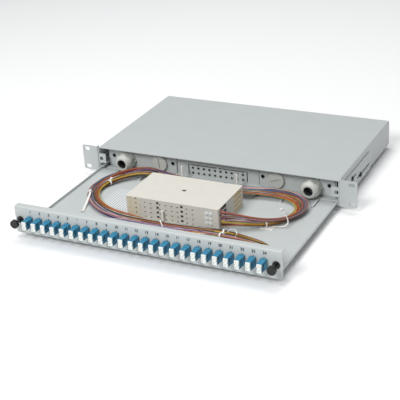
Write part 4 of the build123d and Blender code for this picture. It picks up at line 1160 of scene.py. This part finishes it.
KNOCKOUT_COLUMNS = 10
KNOCKOUT_PITCH = 9.9
KNOCKOUT_ROWS = (11.4, 20.2)
KNOCKOUT_RADIUS = 2.3
CUT_FRONT = 15.0
CUT_BACK = 24.0
# Slots on either side of the middle: from and to across, from and to up
KNOCKOUT_SLOTS = ((2.0, 47.9, 24.7, 26.5), (51.0, 52.9, 8.5, 26.5), (72.3, 73.3, 7.0, 38.0))


def dress_rear_wall():
    """The rear wall with its field of punched places, each as wide as the photograph shows."""
    wall = eased_copy("rear_wall", "drawer", DRAWER, "drawer_paint", 0.2)
    columns = [(i - (KNOCKOUT_COLUMNS - 1) / 2) * KNOCKOUT_PITCH for i in range(KNOCKOUT_COLUMNS)]
    cuts = [round_bar("hole", x, z, KNOCKOUT_RADIUS, CUT_FRONT, CUT_BACK, 24)
            for x in columns for z in KNOCKOUT_ROWS]
    for side in (-1, 1):
        for near, far, low, high in KNOCKOUT_SLOTS:
            left, right = sorted((side * near, side * far))
            cuts.append(block("slot", (left, CUT_FRONT, low), (right, CUT_BACK, high)))
    cutter = merge(cuts, "knockout_cutter")
    bore_out(wall, cutter)
    discard(cutter)


# Slots of the tray: middle across and along, length, width, turn in degrees
TRAY_SLOTS = ((-147.5, -108.0, 6.0, 1.6, 20.0), (-175.6, -1.2, 5.0, 1.8, 0.0), (-205.0, -9.0, 3.0, 1.8, 0.0),
              (204.0, -8.0, 4.0, 1.8, 0.0), (205.5, -218.0, 3.4, 2.0, 0.0), (-205.5, -218.0, 3.4, 2.0, 0.0),
              (-153.5, -152.5, 5.0, 2.6, 20.0))


def dress_tray():
    """The tray with its small slots, and the tab at each front corner."""
    tray = eased_copy("drawer_tray", "drawer", DRAWER, "drawer_paint", 0.2)
    for x, y, length, width, turn in TRAY_SLOTS:
        cutter = block("slot_cutter", (-length / 2, -width / 2, -1.0), (length / 2, width / 2, 6.0))
        soften(cutter, 0.3)
        turned = copy_to(cutter, "slot_cutter_turned", (x, y, 0.0), turn)
        bore_out(tray, turned)
        discard(cutter)
        discard(turned)
    for side in (-1, 1):
        inner, outer = sorted((side * 212.0, side * 219.5))
        fit_slip("corner_tab", (inner, -237.0, 0.6), (outer, -232.5, 4.0), 2, 2.0, 0.3, DRAWER,
                 "drawer_paint", "drawer_tray")


place_camera()
light_the_studio()
lay_floor()
lay_bundle("fibre_bundle_lower", LOWER_ROUTE, LOWER_COLOURS, seed=3)
lay_bundle("fibre_bundle_upper", UPPER_ROUTE, UPPER_COLOURS, seed=8)
lay_loose_fibres()
lay_pigtails()
dress_plain_sheets()
fit_glands()
fit_connectors()
eased_copy("gland_seals", "drawer", RUBBER, "seal_rubber", 0.3)
eased_copy("latch_grommets", "drawer", BLACK_NYLON, "black_nylon", 0.3)
fit_posts()
eased_copy("tray_label", "drawer", PAPER, "label_paper", 0.05)
dress_tray()
dress_rear_wall()
fit_adapters()
print_numbers()
fit_latches()
fit_screws()
fit_cassettes()
fit_stack_parts()
fit_ties()
